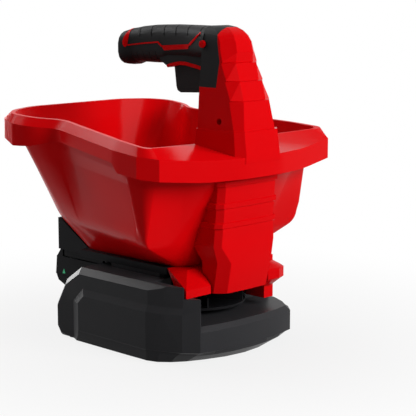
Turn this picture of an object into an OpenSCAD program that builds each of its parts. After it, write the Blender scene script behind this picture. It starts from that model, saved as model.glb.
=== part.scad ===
// Handheld electric spreader for seed and fertiliser.
// The throwing side faces -Y, +Z is up and the feet stand on z = 0.

/* [Hopper] */
// Width over the front corners of the rim
rim_w = 260; // [254:1:266]
// Width at the waist in each side of the rim
waist_w = 192; // [186:1:198]
// Width over the rear ears of the rim
ear_w = 234; // [228:1:240]
// Width of the straight front of the rim band
front_flat_w = 132; // [126:1:138]
// Width of the straight rear edge of the rim
rear_flat_w = 124; // [118:1:130]
// Distance from the spindle forward to the front of the rim band
band_front = 83; // [80:1:86]
// Distance from the spindle back to the rear of the rim
rim_rear = 187; // [182:1:194]
// Height of the lip beside the column
lip_front_z = 203.5; // [201:0.5:206]
// Height of the lip at the front corners
lip_corner_z = 210; // [207:0.5:213]
// Height of the lip at the rear
lip_rear_z = 228; // [224:0.5:232]
// Width of the flat lip
lip_w = 4.5; // [3.5:0.5:6]
// Width of the slope between the lip and the band
rim_slope_w = 7; // [6:0.5:8]
// Drop of the slope between the lip and the band
rim_slope_h = 8; // [6:0.5:9]
// Depth of the band at the front
band_front_h = 20; // [17:0.5:22]
// Depth of the band along the sides
band_side_h = 12; // [10:0.5:14]
// Overhang of the band over the wall
band_overhang = 9; // [7:0.5:11]
// Wall of the hopper
wall = 3; // [2.5:0.1:4]
// Height of the crease where the walls turn into the funnel
crease_z = 115; // [112:0.5:118]
// Height of the underside of the hopper
floor_z = 86; // [84:0.5:88]
// Width of the underside of the hopper
floor_w = 100; // [96:1:104]
// Width of the outlet
outlet_w = 44; // [40:1:48]

/* [Column and handle] */
// Height of the seam between the hopper's collar and the handle
seam_z = 219; // [216:0.5:222]
// Width of the handle at the seam
column_w = 56; // [52:1:60]
// Distance from the spindle forward to the back of the column
column_back = 32; // [31:0.5:34]
// Distance from the spindle forward to the front of the column at the seam
column_front = 86.3; // [84:0.1:88]
// How far the collar flares forward at its foot
collar_flare = 4.7; // [3:0.1:6]
// Height of the top of the handle
handle_top_z = 315; // [312:1:320]
// Depth of each step in the column's front
step_d = 2.4; // [1.5:0.1:3]
// Width of the wiring channel in the column
channel_w = 32; // [24:1:36]
// Distance from the spindle back to the end of the grip
grip_end = 95; // [92:1:99]
// Width of the grip
grip_w = 34; // [32:0.5:38]
// Width of the trigger
trigger_w = 19; // [16:0.5:20]
// Upward travel of the trigger
trigger_travel = 6; // [4:0.5:7]
// Diameter of the lock button
lock_d = 7; // [6:0.5:7.5]

/* [Base] */
// Width of the base
base_w = 172; // [168:1:176]
// Height of the top of the base
base_top = 75; // [73:0.5:76]
// Height of the tray floor under the spinner
tray_z = 37; // [36:0.5:38]
// Wall of the base
base_wall = 3.5; // [3:0.1:4]
// Gap under the base that the feet fill
foot_h = 1.5; // [1:0.5:2.5]
// How far the side panels stand out
panel_t = 3; // [2:0.5:4]
// Distance from the spindle forward to the middle of the base's front
base_front = 78; // [76:1:80]
// Distance from the spindle back to the rear of the base
base_rear = 118; // [115:1:121]

/* [Drive] */
// Diameter of the spinner
spinner_d = 100; // [90:1:102]
// Vanes on the spinner
vanes = 6; // [3:1:8]
// Diameter of the spindle
spindle_d = 8; // [6:0.5:9]
// Module of the drive gears
gear_m = 1.5; // [1.4:0.05:1.55]
// Teeth on the spindle gear
spindle_teeth = 32; // [32:1:32]
// Teeth on the idler gear
idler_teeth = 27; // [27:2:27]
// Teeth on the motor pinion
motor_teeth = 10; // [10:1:10]
// Diameter of the motor
motor_d = 28; // [26:0.5:29]
// Length of the motor
motor_l = 32; // [28:1:33]
// Outside diameter of the bearings
bearing_d = 16; // [14:0.5:17]

/* [Controls] */
// Diameter of the flow dial
dial_d = 36; // [32:1:38]
// Steps marked on the flow dial
dial_steps = 8; // [8:1:8]
// Module of the dial's pinion and the shutter's rack
rack_m = 1; // [0.95:0.05:1.05]
// Teeth on the dial's pinion
dial_teeth = 12; // [12:1:12]
// Diameter of the speed wheel
wheel_d = 30; // [28:0.5:31]
// Thickness of the speed wheel
wheel_t = 6; // [5:0.5:7]

/* [Battery] */
// Width of the battery
battery_w = 80; // [76:1:82]
// Distance from the spindle back to the rear of the battery
battery_rear = 171; // [168:1:175]
// Height of the underside of the battery
battery_z = 37; // [36:0.5:39]
// Width of the dock behind the base
dock_w = 92; // [90:1:96]

/* [Hidden] */
$fn = 48;

// Clearances
fit = 0.3;
shaft_fit = 0.04;
seat = 0.02;

// Colours
red = [0.78, 0.03, 0.05];
black = [0.07, 0.07, 0.075];
grey = [0.2, 0.2, 0.21];
steel = [0.72, 0.73, 0.75];
brass = [0.8, 0.65, 0.3];
ivory = [0.9, 0.89, 0.84];
green = [0.1, 0.6, 0.3];

// The spindle's axis is the working origin, moved so that the part is centred along Y
front_reach = column_front + collar_flare;
spindle_y = (front_reach - rim_rear) / 2;
module from_spindle() { translate([0, spindle_y, 0]) children(); }

// Points and curves
function unit(v) = v / norm(v);
function mix(a, b, t) = a + (b - a) * t;
function bend(a, p, b, t) = (1 - t) * (1 - t) * a + 2 * t * (1 - t) * p + t * t * b;
function polar(r, a) = r * [cos(a), sin(a)];
function power_sign(v, e) = sign(v) * pow(abs(v), e);

// A half outline runs from the front to the rear on the +X side; this adds the other half
function mirrored(half) = concat(half, [
    for (i = [len(half) - 1:-1:0]) [-half[i][0], half[i][1], half[i][2]]
]);

// Each corner of a loop becomes a short curve, or a chamfer at the flat one and its mirror image
corner_steps = 5;
function eased(loop, reach, flat = -1) = [
    for (i = [0:len(loop) - 1])
        let (
            n = len(loop),
            p = loop[i],
            a = loop[(i + n - 1) % n],
            b = loop[(i + 1) % n],
            r = min(reach[i], 0.45 * norm(a - p), 0.45 * norm(b - p)),
            s = p + unit(a - p) * r,
            e = p + unit(b - p) * r
        )
        for (j = [0:corner_steps - 1])
            let (t = j / (corner_steps - 1))
            i == flat || i == n - 1 - flat ? mix(s, e, t) : bend(s, p, e, t)
];

// Skin over a list of rings with equal counts; closed joins the last ring to the first
module loft(rings, closed = false) {
    n = len(rings[0]);
    m = len(rings);
    last = closed ? m - 1 : m - 2;
    sides = [
        for (i = [0:last], j = [0:n - 1])
            let (
                k = (i + 1) % m,
                l = (j + 1) % n
            )
            each [
                [i * n + j, k * n + j, k * n + l],
                [i * n + j, k * n + l, i * n + l]
            ]
    ];
    bottom = closed ? [] : [[for (j = [0:n - 1]) j]];
    top = closed ? [] : [[for (j = [n - 1:-1:0]) (m - 1) * n + j]];
    polyhedron([for (r = rings) each r], concat(sides, bottom, top), convexity = 8);
}

// Extrude a (y, z) outline along X, and an (x, z) outline along Y
module along_x(x0, x1) {
    translate([x0, 0, 0]) rotate([90, 0, 90]) linear_extrude(x1 - x0) children();
}
module along_y(y0, y1) {
    translate([0, y1, 0]) rotate([90, 0, 0]) linear_extrude(y1 - y0) children();
}
module box(x0, x1, y0, y1, z0, z1) {
    translate([x0, y0, z0]) cube([x1 - x0, y1 - y0, z1 - z0]);
}
module rod(d, z0, z1) { translate([0, 0, z0]) cylinder(d = d, h = z1 - z0); }
module cross_rod(d, x0, x1) { translate([x0, 0, 0]) rotate([0, 90, 0]) cylinder(d = d, h = x1 - x0); }

// Involute gear outline
pressure = 20;
addendum = 0.9;
dedendum = 1.2;
backlash = 0.3;
function involute(a) = tan(a) - a * PI / 180;
function half_tooth(m, teeth, r) =
    let (rb = m * teeth / 2 * cos(pressure))
    90 / teeth - backlash / (m * teeth) * 180 / PI
    + (involute(pressure) - involute(acos(min(1, rb / r)))) * 180 / PI;
module gear_outline(m, teeth) {
    pitch_r = m * teeth / 2;
    root_r = pitch_r - dedendum * m;
    tip_r = pitch_r + addendum * m;
    low_r = max(root_r + 0.05, pitch_r * cos(pressure) + 0.01);
    flank = [for (i = [0:3]) mix(low_r, tip_r, i / 3)];
    points = [
        for (t = [0:teeth - 1])
            let (a = 360 / teeth * t)
            each concat(
                [polar(root_r, a - half_tooth(m, teeth, low_r))],
                [for (i = [0:3]) polar(flank[i], a - half_tooth(m, teeth, flank[i]))],
                [for (i = [3:-1:0]) polar(flank[i], a + half_tooth(m, teeth, flank[i]))],
                [polar(root_r, a + half_tooth(m, teeth, low_r))]
            )
    ];
    polygon(points);
}

// Hopper stations, from the front flat round the corner, waist and ear to the rear flat
corner_back = 13;
step_y = -14;
step_l = 14;
waist_y = 96;
ear_y = 120;
ear_l = 33;
ear_facet = [17, 13];
lip_front = column_back + 1;
lip_half = column_w / 2 + 6;
station_round = [10, 16, 14, 2, 2, 12, 12, 12, 10, 12];
inward = [
    [0, 1], [0, 1], [-0.9, 0.9], [-1, 0], [-1, 0], [-1, 0], [-1, 0.2], [-1, -0.2], [-0.75, -0.8], [0, -1]
];
band_plan = [
    [column_w / 2 - 4, -front_reach],
    [front_flat_w / 2, -band_front],
    [rim_w / 2, corner_back - band_front],
    [rim_w / 2 - 4, step_y - step_l],
    [rim_w / 2 - 5, step_y],
    [waist_w / 2, waist_y],
    [ear_w / 2 - 4, ear_y],
    [ear_w / 2, ear_y + ear_l],
    [ear_w / 2 - ear_facet[0], rim_rear - ear_facet[1]],
    [rear_flat_w / 2, rim_rear]
];
crease_plan = [
    [20, -43], [50, -42], [105, -41], [104.5, -37], [103, -28],
    [70, 86], [62, 112], [55, 138], [48, 154], [38, 160]
];
floor_half = floor_w / 2;
floor_back = 110;
floor_plan = [
    [14, -34], [32, -34], [floor_half, -20], [floor_half, -6], [floor_half, 0], [floor_half, 50],
    [floor_half, 70], [floor_half, 96], [floor_half - 3, floor_back - 2], [38, floor_back]
];
outlet_front = -24;
outlet_back = 48;
outlet_half = outlet_w / 2;
outlet_plan = [
    [outlet_half - 12, outlet_front], [outlet_half - 4, outlet_front], [outlet_half, outlet_front + 4],
    [outlet_half, -4], [outlet_half, 0], [outlet_half, 20], [outlet_half, 30], [outlet_half, 40],
    [outlet_half - 2, outlet_back - 2], [outlet_half - 8, outlet_back]
];
// The front lip runs across behind the column instead of following the band
function behind_column(plan, y) = [
    for (i = [0:len(plan) - 1]) i == 0 ? [lip_half / 2, y] : i == 1 ? [lip_half, y] : plan[i]
];
function moved_in(plan, d) = [for (i = [0:len(plan) - 1]) plan[i] + d * inward[i]];
function at_height(plan, z) = [
    for (i = [0:len(plan) - 1]) [plan[i][0], plan[i][1], is_list(z) ? z[i] : z]
];
front_corner = 2;
function ring(plan, z, flat = -1) = eased(mirrored(at_height(plan, z)), concat(station_round, [
    for (i = [len(station_round) - 1:-1:0]) station_round[i]
]), flat);
function lip_height(y) =
    mix(lip_corner_z, lip_rear_z, (y + band_front - corner_back) / (rim_rear + band_front - corner_back));
last_station = len(band_plan) - 1;
lip_z = [for (i = [0:last_station]) i < 2 ? lip_front_z : lip_height(band_plan[i][1])];
band_top_z = [for (i = [0:last_station]) lip_z[i] - rim_slope_h + (i >= last_station - 1 ? 3 : 0)];
band_h = [
    band_front_h, band_front_h, band_front_h, band_front_h, band_side_h, band_side_h,
    band_front_h, band_front_h + 3, band_side_h, band_side_h
];
band_low_z = [for (i = [0:last_station]) band_top_z[i] - band_h[i]];
wall_top_z = [for (z = band_top_z) z - wall];
inner_front = [[lip_half / 2, -lip_front + 5], [lip_half + 6, -lip_front + 5], [100, -lip_front + 9]];
inner_crease = [
    for (i = [0:last_station]) i < 3 ? inner_front[i] : crease_plan[i] + (wall + 0.5) * inward[i]
];
// Under the band the wall's front corner is cut back to meet the crease below
wall_plan = [
    for (i = [0:last_station]) band_plan[i] + band_overhang * (i == 2 ? 2.3 : 1) * inward[i]
];
lip_outer = behind_column(moved_in(band_plan, rim_slope_w), -lip_front);
lip_inner = behind_column(moved_in(band_plan, rim_slope_w + lip_w), -lip_front + lip_w);

module hopper_bin() {
    loft([
        ring(floor_plan, floor_z),
        ring(crease_plan, crease_z),
        ring(wall_plan, wall_top_z),
        ring(moved_in(band_plan, wall), wall_top_z, front_corner),
        ring(moved_in(band_plan, wall), band_low_z, front_corner),
        ring(band_plan, band_low_z, front_corner),
        ring(band_plan, band_top_z, front_corner),
        ring(lip_outer, lip_z),
        ring(lip_inner, lip_z),
        ring(inner_crease, crease_z + wall),
        ring(outlet_plan, floor_z + wall),
        ring(outlet_plan, floor_z),
        ring(moved_in(outlet_plan, -wall), floor_z),
        ring(moved_in(floor_plan, wall), floor_z + 12),
        ring(moved_in(floor_plan, wall), floor_z)
    ], closed = true);
}

// Column section: front half width, side half width, front and back reach, ridge down the front
column_bevel = 7;
function column_ring(z, front_half, side_half, front, back, bevel = column_bevel, ridge = 0) = [
    if (ridge > 0) [0, -front - ridge, z],
    [front_half, -front, z], [side_half, bevel - front, z], [side_half, -back, z],
    [-side_half, -back, z], [-side_half, bevel - front, z], [-front_half, -front, z]
];

// Lower column: height, half widths, front and back reach, bevel; ribs stand out from it
rib_d = 1.8;
front_ridge = 1.1;
rib_h = 6;
ribs = [130, 149, 170];
lower_profile = [
    [64, 27, 36.5, 70.6, 47.5, 9], [94, 28, 37.5, 76.9, 47.5, 9], [110, 36.2, 41.5, 72.2, 38, 5.5],
    [130, 34.5, 40, 72.7, 34, 5.5], [190, 34, 39.5, 77.5, 34, 5.5]
];
function lower_at(z) =
    let (
        i = max([for (k = [0:len(lower_profile) - 2]) if (lower_profile[k][0] <= z) k]),
        a = lower_profile[i],
        b = lower_profile[i + 1]
    )
    mix(a, b, (z - a[0]) / (b[0] - a[0]));
function lower_ring(z, d = 0) =
    let (s = lower_at(z))
    column_ring(z, s[1] + d, s[2] + d, s[3] + d / 2, s[4], s[5], front_ridge);
function rib_rings(z) = [
    lower_ring(z - rib_h / 2), lower_ring(z - rib_h / 2 + 0.8, rib_d),
    lower_ring(z + rib_h / 2 - 0.8, rib_d), lower_ring(z + rib_h / 2)
];
module lower_column() {
    loft([
        lower_ring(64), lower_ring(94), lower_ring(110),
        for (z = ribs) each rib_rings(z),
        lower_ring(189.9)
    ]);
}
collar_step = 1.8;
module collar() {
    half = column_w / 2;
    loft([
        column_ring(lip_front_z - 14, half - 4.5, half + 3.5, front_reach + 0.5, column_back - 1),
        column_ring(lip_front_z - 5, half - 5, half + 3, front_reach, column_back - 1),
        column_ring(seam_z, half - 5.5, half + collar_step, column_front + collar_step, column_back)
    ]);
}
channel_y = [-66, -49.5];
module wiring_channel(z0, z1) {
    box(-channel_w / 2, channel_w / 2, channel_y[0], channel_y[1], z0, z1);
}
// Hollow between the front wall and the inner wall, open to the wiring channel
pocket_low = crease_z + 8;
pocket_high = lip_front_z - 15;
module front_pocket() {
    loft([
        [[36, -42, pocket_low], [36, -33, pocket_low], [-36, -33, pocket_low], [-36, -42, pocket_low]],
        [[56, -69, pocket_high], [56, -41, pocket_high], [-56, -41, pocket_high], [-56, -69, pocket_high]]
    ]);
}
module hopper() color(red) from_spindle() difference() {
    union() {
        hopper_bin();
        lower_column();
        collar();
    }
    wiring_channel(60, seam_z + 1);
    front_pocket();
}

// Handle: stepped column, grip and trigger housing
step_z = [for (t = [0.281, 0.469, 0.646]) mix(seam_z, handle_top_z, t)];
upper_profile = [
    [seam_z, column_w / 2 - 7, column_w / 2, column_front],
    [step_z[0], column_w / 2 - 10.5, column_w / 2 - 1.5, column_front - 4.2],
    [step_z[1], column_w / 2 - 12.5, column_w / 2 - 3, column_front - 11.2],
    [step_z[2], column_w / 2 - 14, column_w / 2 - 4.5, column_front - 17.6],
    [handle_top_z - 24, column_w / 2 - 14.5, column_w / 2 - 5.2, column_front - 16.6],
    [handle_top_z - 15, column_w / 2 - 15, column_w / 2 - 6.2, column_front - 18.6],
    [handle_top_z - 9, column_w / 2 - 16, column_w / 2 - 7.6, column_front - 22],
    [handle_top_z - 4.6, column_w / 2 - 17.4, column_w / 2 - 9.6, column_front - 26.8],
    [handle_top_z - 1.6, column_w / 2 - 19.4, column_w / 2 - 12.4, column_front - 32.4],
    [handle_top_z, column_w / 2 - 22, column_w / 2 - 16.5, column_front - 39]
];
// Only the front steps back, and each plate's bevel widens towards its top
bevel_wide = 10;
bevel_narrow = 6;
function upper_ring(s, d = 0, dz = 0, bevel = bevel_narrow) =
    column_ring(s[0] + dz, s[1] - d, s[2], s[3] - d, column_back, bevel);
module upper_column() {
    loft([
        upper_ring(upper_profile[0], 0, 0, column_bevel),
        for (k = [1:3]) each [
            upper_ring(upper_profile[k], 0, 0, bevel_wide), upper_ring(upper_profile[k], step_d, 0.8)
        ],
        for (k = [4:len(upper_profile) - 1]) upper_ring(upper_profile[k], step_d, 0, bevel_wide)
    ]);
}

// Grip stations: place along Y, top and bottom below the handle's top, half width
grip_half = grip_w / 2;
grip_stations = [
    [-column_back - 1, 0.8, 32.5, grip_half + 5.5], [-20, 0.6, 33, grip_half + 3.4],
    [-4, 0.4, 33.5, grip_half + 0.8], [24, 0.4, 35.5, grip_half - 0.2], [31, 0.6, 38.4, grip_half - 0.4],
    [48, 1.2, 38.8, grip_half - 0.5], [grip_end - 28, 3, 38.8, grip_half - 0.5],
    [grip_end - 19, 4.6, 39.4, grip_half], [grip_end - 13, 5.4, 42, grip_half + 2],
    [grip_end - 4, 7.6, 42, grip_half + 2], [grip_end, 14, 36, grip_half - 3]
];
grip_sides = 20;
roundness = 2 / 2.7;
function grip_ring(s) =
    let (
        top = handle_top_z - s[1],
        low = handle_top_z - s[2]
    )
    [
        for (j = [0:grip_sides - 1])
            let (a = -360 / grip_sides * (j + 0.5))
            [
                s[3] * power_sign(cos(a), roundness),
                s[0],
                (top + low) / 2 + (top - low) / 2 * power_sign(sin(a), roundness)
            ]
    ];
module grip() { loft([for (s = grip_stations) grip_ring(s)]); }

// Trigger housing: the red bezel is an arch under it
housing_low = handle_top_z - 41;
housing_end = 26;
housing_half = trigger_w / 2 + 4.5;
arch_top = [[-17.2, 3.2], [-0.8, 5.8], [8.9, 5.6], [20.2, 3.4], [housing_end, 1.2]];
arch_low = [[housing_end - 2, -1.1], [9, 2], [-0.8, 2], [-17.2, -0.6]];
function from_housing(points) = [for (p = points) [p[0], housing_low + p[1]]];
module trigger_housing() {
    along_x(-housing_half, housing_half) polygon(from_housing(concat(
        [[-column_back - 1, 0]], arch_top,
        [[housing_end + 8, 6], [housing_end + 12, 18], [-column_back - 1, 18]]
    )));
}
module handle_form() {
    upper_column();
    grip();
    trigger_housing();
}
// Side view of the area that the black grip halves cover
pad_low = mix(seam_z, handle_top_z, 0.40625);
module pad_area() {
    along_x(-60, 60) polygon([
        [-column_back - 22, pad_low], [-column_back - 24.5, step_z[2] + 2],
        [-column_back - 18.5, handle_top_z - 8], [-column_back - 17, handle_top_z + 5],
        [grip_end + 20, handle_top_z + 5], [grip_end + 20, pad_low]
    ]);
}
trigger_y = [-30, 19];
trigger_low = handle_top_z - 65;
trigger_top = handle_top_z - 34;
switch_low = trigger_top + trigger_travel + 1.5;
switch_high = switch_low + 13;
switch_y = [-22, 14];
switch_w = 16;
lock_at = [0, -column_back - 1.5, handle_top_z - 17];
lock_travel = 4;
lock_reach = grip_half + 7.5;
cable_d = 4;
cable_y = -52.2;
screw_d = 3;
screw_head_d = 5.5;
screw_head_h = 2.5;
screw_seat = 9.5;
screw_boss_d = 10;
// Each handle screw: place along Y, height, and the side its head is on
handle_screw_at = [
    [-60, seam_z + 8, -1], [-42, seam_z + 17, 1], [-46, handle_top_z - 31, 1],
    [46, handle_top_z - 18, 1], [76, handle_top_z - 20, 1]
];
module handle_screw_places() {
    for (p = handle_screw_at) translate([0, p[0], p[1]]) mirror([p[2] > 0 ? 1 : 0, 0, 0]) children();
}
// Space inside the walls, less the screw bosses
grip_room = [housing_end + 8, grip_end - 16];
module handle_inside() {
    difference() {
        union() {
            along_x(-column_w / 4, column_w / 4) polygon([
                [-column_front + 12, seam_z - 1], [-column_back - 8, seam_z - 1],
                [-column_back - 8, step_z[1]], [-column_front + 22, step_z[1]]
            ]);
            box(-grip_half + 7, grip_half - 7, grip_room[0], grip_room[1],
                handle_top_z - 30, handle_top_z - 9);
        }
        handle_screw_places() cross_rod(screw_boss_d, -30, 30);
    }
}
module handle_hollows() {
    handle_inside();
    half = trigger_w / 2 + fit;
    box(-half, half, trigger_y[0] - fit, trigger_y[1] + fit, housing_low - 30, switch_low - 0.5);
    box(-switch_w / 2 - seat, switch_w / 2 + seat, switch_y[0] - seat, switch_y[1] + seat,
        switch_low - 1, switch_high + seat);
    translate(lock_at) cross_rod(lock_d + 2 * shaft_fit, -40, 40);
    translate([0, cable_y, 0]) rod(cable_d + 2, seam_z - 1, switch_low + 4);
    box(-cable_d / 2 - 1, cable_d / 2 + 1, cable_y, switch_y[0] + 1, switch_low, switch_low + 4);
    handle_screw_places() {
        cross_rod(screw_d + 2 * seat, -16, 9);
        cross_rod(screw_head_d + 2 * fit, -40, -screw_seat);
    }
}
module handle_half(side) {
    intersection() {
        children();
        box(min(0, side * 60), max(0, side * 60), -150, 150, seam_z - 10, handle_top_z + 10);
    }
}
module handle_shell(side) {
    handle_half(side) difference() {
        upper_column();
        pad_area();
        handle_hollows();
    }
}
module grip_pad(side) {
    handle_half(side) difference() {
        intersection() {
            handle_form();
            pad_area();
        }
        handle_hollows();
    }
}
// Bezel under the grip that frames the trigger
module trigger_bezel() color(red) from_spindle() difference() {
    along_x(-housing_half, housing_half) polygon(from_housing(concat(
        [[-column_back, 0.2]], arch_top, arch_low, [[-column_back, -3.6]]
    )));
    box(-trigger_w / 2 - fit, trigger_w / 2 + fit, trigger_y[0] - fit, trigger_y[1] + fit,
        housing_low - 10, housing_low + 10);
}
module handle_left_shell() color(red) from_spindle() handle_shell(1);
module handle_right_shell() color(red) from_spindle() handle_shell(-1);
module grip_left_pad() color(black) from_spindle() grip_pad(1);
module grip_right_pad() color(black) from_spindle() grip_pad(-1);
module handle_screws() color(steel) from_spindle() handle_screw_places() {
    cross_rod(screw_d, -screw_seat - 1, 8);
    cross_rod(screw_head_d, -screw_seat - screw_head_h, -screw_seat);
}
module trigger() color(black) from_spindle() difference() {
    along_x(-trigger_w / 2, trigger_w / 2) polygon([
        [trigger_y[0], trigger_top], [trigger_y[0], trigger_low + 2.5], [trigger_y[0] + 3, trigger_low + 1],
        [trigger_y[1] - 8, trigger_low - 1], [trigger_y[1] - 4, trigger_low + 1],
        [trigger_y[1] - 2.5, trigger_low + 5], [trigger_y[1], trigger_low + 24], [trigger_y[1], trigger_top]
    ]);
    translate([0, spring_y, 0]) rod(spring_d + 2 * fit, spring_low, trigger_top + 1);
}
module trigger_switch() color(grey) from_spindle() {
    box(-switch_w / 2, switch_w / 2, switch_y[0], switch_y[1], switch_low, switch_high);
}

// Return spring of the trigger, one unbroken tube
spring_y = -5;
spring_d = 8;
spring_wire = 1;
spring_turns = 6;
spring_low = trigger_top - 12;
spring_high = switch_low;
spring_sides = 6;
rings_a_turn = 8;
function spring_point(t) = [
    (spring_d - spring_wire) / 2 * cos(360 * t),
    spring_y + (spring_d - spring_wire) / 2 * sin(360 * t),
    mix(spring_low + spring_wire / 2, spring_high - spring_wire / 2, t / spring_turns)
];
module trigger_spring() color(steel) from_spindle() {
    loft([
        for (k = [0:spring_turns * rings_a_turn])
            let (
                t = k / rings_a_turn,
                p = spring_point(t),
                out = [cos(360 * t), sin(360 * t), 0]
            )
            [for (s = [0:spring_sides - 1])
                let (a = -360 / spring_sides * s)
                p + spring_wire / 2 * (cos(a) * out + sin(a) * [0, 0, 1])]
    ]);
}

module lock_button() color(red) from_spindle() translate(lock_at) {
    cross_rod(lock_d, -lock_reach, lock_reach - lock_travel);
}
module wire_loom() color(black) from_spindle() {
    translate([0, cable_y, 0]) rod(cable_d, floor_z + 6, switch_low + 3);
    box(-cable_d / 2, cable_d / 2, cable_y, switch_y[0], switch_low + 0.5, switch_low + 3);
}

// Guard over the spinner: wings beside the column and a skirt on the closed side of the disc
guard_low = 64;
guard_edge = 75;
guard_top = floor_z - 0.3;
guard_back = 20;
guard_notch = [38.2, 47];
skirt_x = [43, 56];
skirt_low = 45;
skirt_r = spinner_d / 2 + 2;
module slice(z, t, outline) { translate([0, 0, z]) linear_extrude(t) polygon(outline); }
module left_wing() hull() {
    slice(guard_low, 8, [[-71, -60], [0, -60], [0, -44], [-68, -46]]);
    slice(guard_top - 1, 1, [[-50, -40], [0, -46], [0, -guard_back], [-57, -guard_back]]);
}
module right_wing() hull() {
    slice(guard_low - 6, 1, [[0, -52], [50, -57], [60, -50], [60, -guard_back], [0, -guard_back]]);
    slice(guard_low + 2, 10, [
        [0, -58], [52, -66], [63, -62], [69, -52], [66, -guard_back], [0, -guard_back]
    ]);
    slice(guard_top - 1, 1, [[0, -46], [44, -48], [54, -42], [56, -guard_back], [0, -guard_back]]);
}
module spinner_guard() color(red) from_spindle() {
    difference() {
        union() {
            left_wing();
            right_wing();
            box(skirt_x[0], skirt_x[1], -54, -guard_back, skirt_low, guard_low);
        }
        box(-guard_notch[0], guard_notch[0], -90, -guard_notch[1], guard_low - 10, floor_z);
        rod(2 * skirt_r, skirt_low - 1, guard_edge);
    }
    box(54, 60, -50, -44, guard_edge, floor_z + 0.6);
}

// Dock under the hopper: front plate with the outlet, rear body with the battery rails
dock_low = 79;
dock_front = -20;
dock_back = 158;
dock_half = dock_w / 2;
dock_rear_low = 78;
dock_slope = 0.6;
gate_y = [14, 40];
gate_half = 14;
shutter_t = 3;
shutter_low = 81;
shutter_travel = rack_m * dial_teeth / 2 * PI / 180 * (360 - 360 / dial_steps);
shutter_y = [8, 46];
shutter_half = 20;
rail_x = [47, 55];
dial_at = [0, 22, shutter_low - rack_m * (1 + dial_teeth / 2) - 1];
rack_y = [dial_at[1] - shutter_travel - 5, shutter_y[1]];
rear_shell = 4;
rail_lip = 5;
battery_half = battery_w / 2;
tongue_half = 26;
dock_rise = (crease_z - floor_z) / (crease_plan[last_station][1] - floor_back);
plate_half = 58;
hollow_y = [116, dock_back - rear_shell];
rail_low = 69.6;
rail_lip_t = 3;
rail_y = [94, dock_back - 2];
function under_funnel(y) = floor_z - dock_slope + (y - floor_back) * dock_rise;
module battery_rail() {
    box(tongue_half + 0.4, battery_half, rail_y[0], rail_y[1], rail_low, dock_rear_low + 1);
    box(tongue_half - rail_lip + 1, battery_half, rail_y[0], rail_y[1], rail_low, rail_low + rail_lip_t);
}
module dock() color(black) from_spindle() difference() {
    union() {
        box(-plate_half, plate_half, dock_front, floor_back - 2, dock_low, floor_z);
        along_x(-dock_half, dock_half) polygon([
            [floor_back - 10, dock_rear_low], [dock_back, dock_rear_low],
            [dock_back, under_funnel(dock_back - 3)], [dock_back - 3, under_funnel(dock_back - 3)],
            [floor_back, under_funnel(floor_back)],
            [floor_back - 10, under_funnel(floor_back)]
        ]);
        battery_rail();
        mirror([1, 0, 0]) battery_rail();
    }
    along_x(-dock_half + rear_shell, dock_half - rear_shell) polygon([
        [hollow_y[0], dock_rear_low + rear_shell], [hollow_y[1], dock_rear_low + rear_shell],
        [hollow_y[1], under_funnel(hollow_y[1]) - 6], [hollow_y[0], under_funnel(hollow_y[0]) - 5]
    ]);
    box(-5, 5, hollow_y[0], hollow_y[0] + 4, dock_rear_low - 1, dock_rear_low + rear_shell + 1);
    box(-gate_half, gate_half, gate_y[0], gate_y[1], dock_low - 1, floor_z + 1);
    box(-shutter_half - fit, rail_x[1] + fit, shutter_y[0] - fit, shutter_y[1] + shutter_travel + fit,
        shutter_low - fit, shutter_low + shutter_t + fit);
    box(rail_x[0] - fit, rail_x[1] + fit, rack_y[0] - fit, rack_y[1] + shutter_travel + fit,
        dock_low - 1, shutter_low + shutter_t + fit);
    rod(bearing_d + 2 * seat, dock_low - 1, floor_z - 1.5);
    rod(spindle_d + 2, dock_low, floor_z + 1);
}
module bearing(z0, z1) {
    difference() {
        rod(bearing_d, z0, z1);
        rod(spindle_d + 2 * shaft_fit, z0 - 1, z1 + 1);
    }
}
module upper_bearing() color(brass) from_spindle() bearing(dock_low, floor_z - 1.5 - seat);

module control_board() color([0.1, 0.35, 0.2]) from_spindle() {
    z = dock_rear_low + rear_shell;
    box(-32, 32, 119, 152, z, z + 1.6);
    box(-26, -12, 130, 148, z + 1.6, z + 8);
    translate([14, 142, 0]) rod(10, z + 1.6, z + 10);
    box(4, 22, 126, 133, z + 1.6, z + 5);
}
module contact_block() color(brass) from_spindle() {
    for (x = [-12, 0, 12]) {
        box(x - 0.5, x + 0.5, 99, 112, 71.5, 76);
        box(x - 0.5, x + 0.5, 96, 99, 71.5, dock_rear_low);
    }
}

// Shutter plate with a rack on its underside that the dial's pinion drives
module rack_outline(y0, y1, pitch_z, top_z) {
    p = PI * rack_m;
    tip = pitch_z - addendum * rack_m;
    root = pitch_z + dedendum * rack_m;
    first = ceil((y0 - dial_at[1]) / p - 0.5);
    last = floor((y1 - dial_at[1]) / p - 0.5) - 1;
    slope = tan(pressure) * rack_m;
    gap_low = p / 4 + addendum * slope + backlash / 2;
    gap_high = p / 4 - dedendum * slope + backlash / 2;
    difference() {
        translate([y0, tip]) square([y1 - y0, top_z - tip]);
        for (k = [first:last + 1]) translate([dial_at[1] + k * p, 0]) polygon([
            [-gap_low, tip], [-gap_low, tip - 1], [gap_low, tip - 1], [gap_low, tip],
            [gap_high, root], [-gap_high, root]
        ]);
    }
}
rack_pitch_z = dial_at[2] + rack_m * dial_teeth / 2;
module shutter() color(grey) from_spindle() {
    box(-shutter_half, rail_x[1], shutter_y[0], shutter_y[1], shutter_low, shutter_low + shutter_t);
    along_x(rail_x[0], rail_x[1]) rack_outline(rack_y[0], rack_y[1], rack_pitch_z, shutter_low + shutter_t);
}
dial_x = base_w / 2 + 4;
dial_t = 13;
dial_shaft_d = 6;
module dial_shaft() color(grey) from_spindle() translate(dial_at) {
    cross_rod(dial_shaft_d, rail_x[0] - 3, dial_x + dial_t - 4);
    translate([rail_x[0], 0, 0]) rotate([90, 0, 90]) linear_extrude(rail_x[1] - rail_x[0])
        rotate(90) gear_outline(rack_m, dial_teeth);
}
dial_grips = 24;
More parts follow.
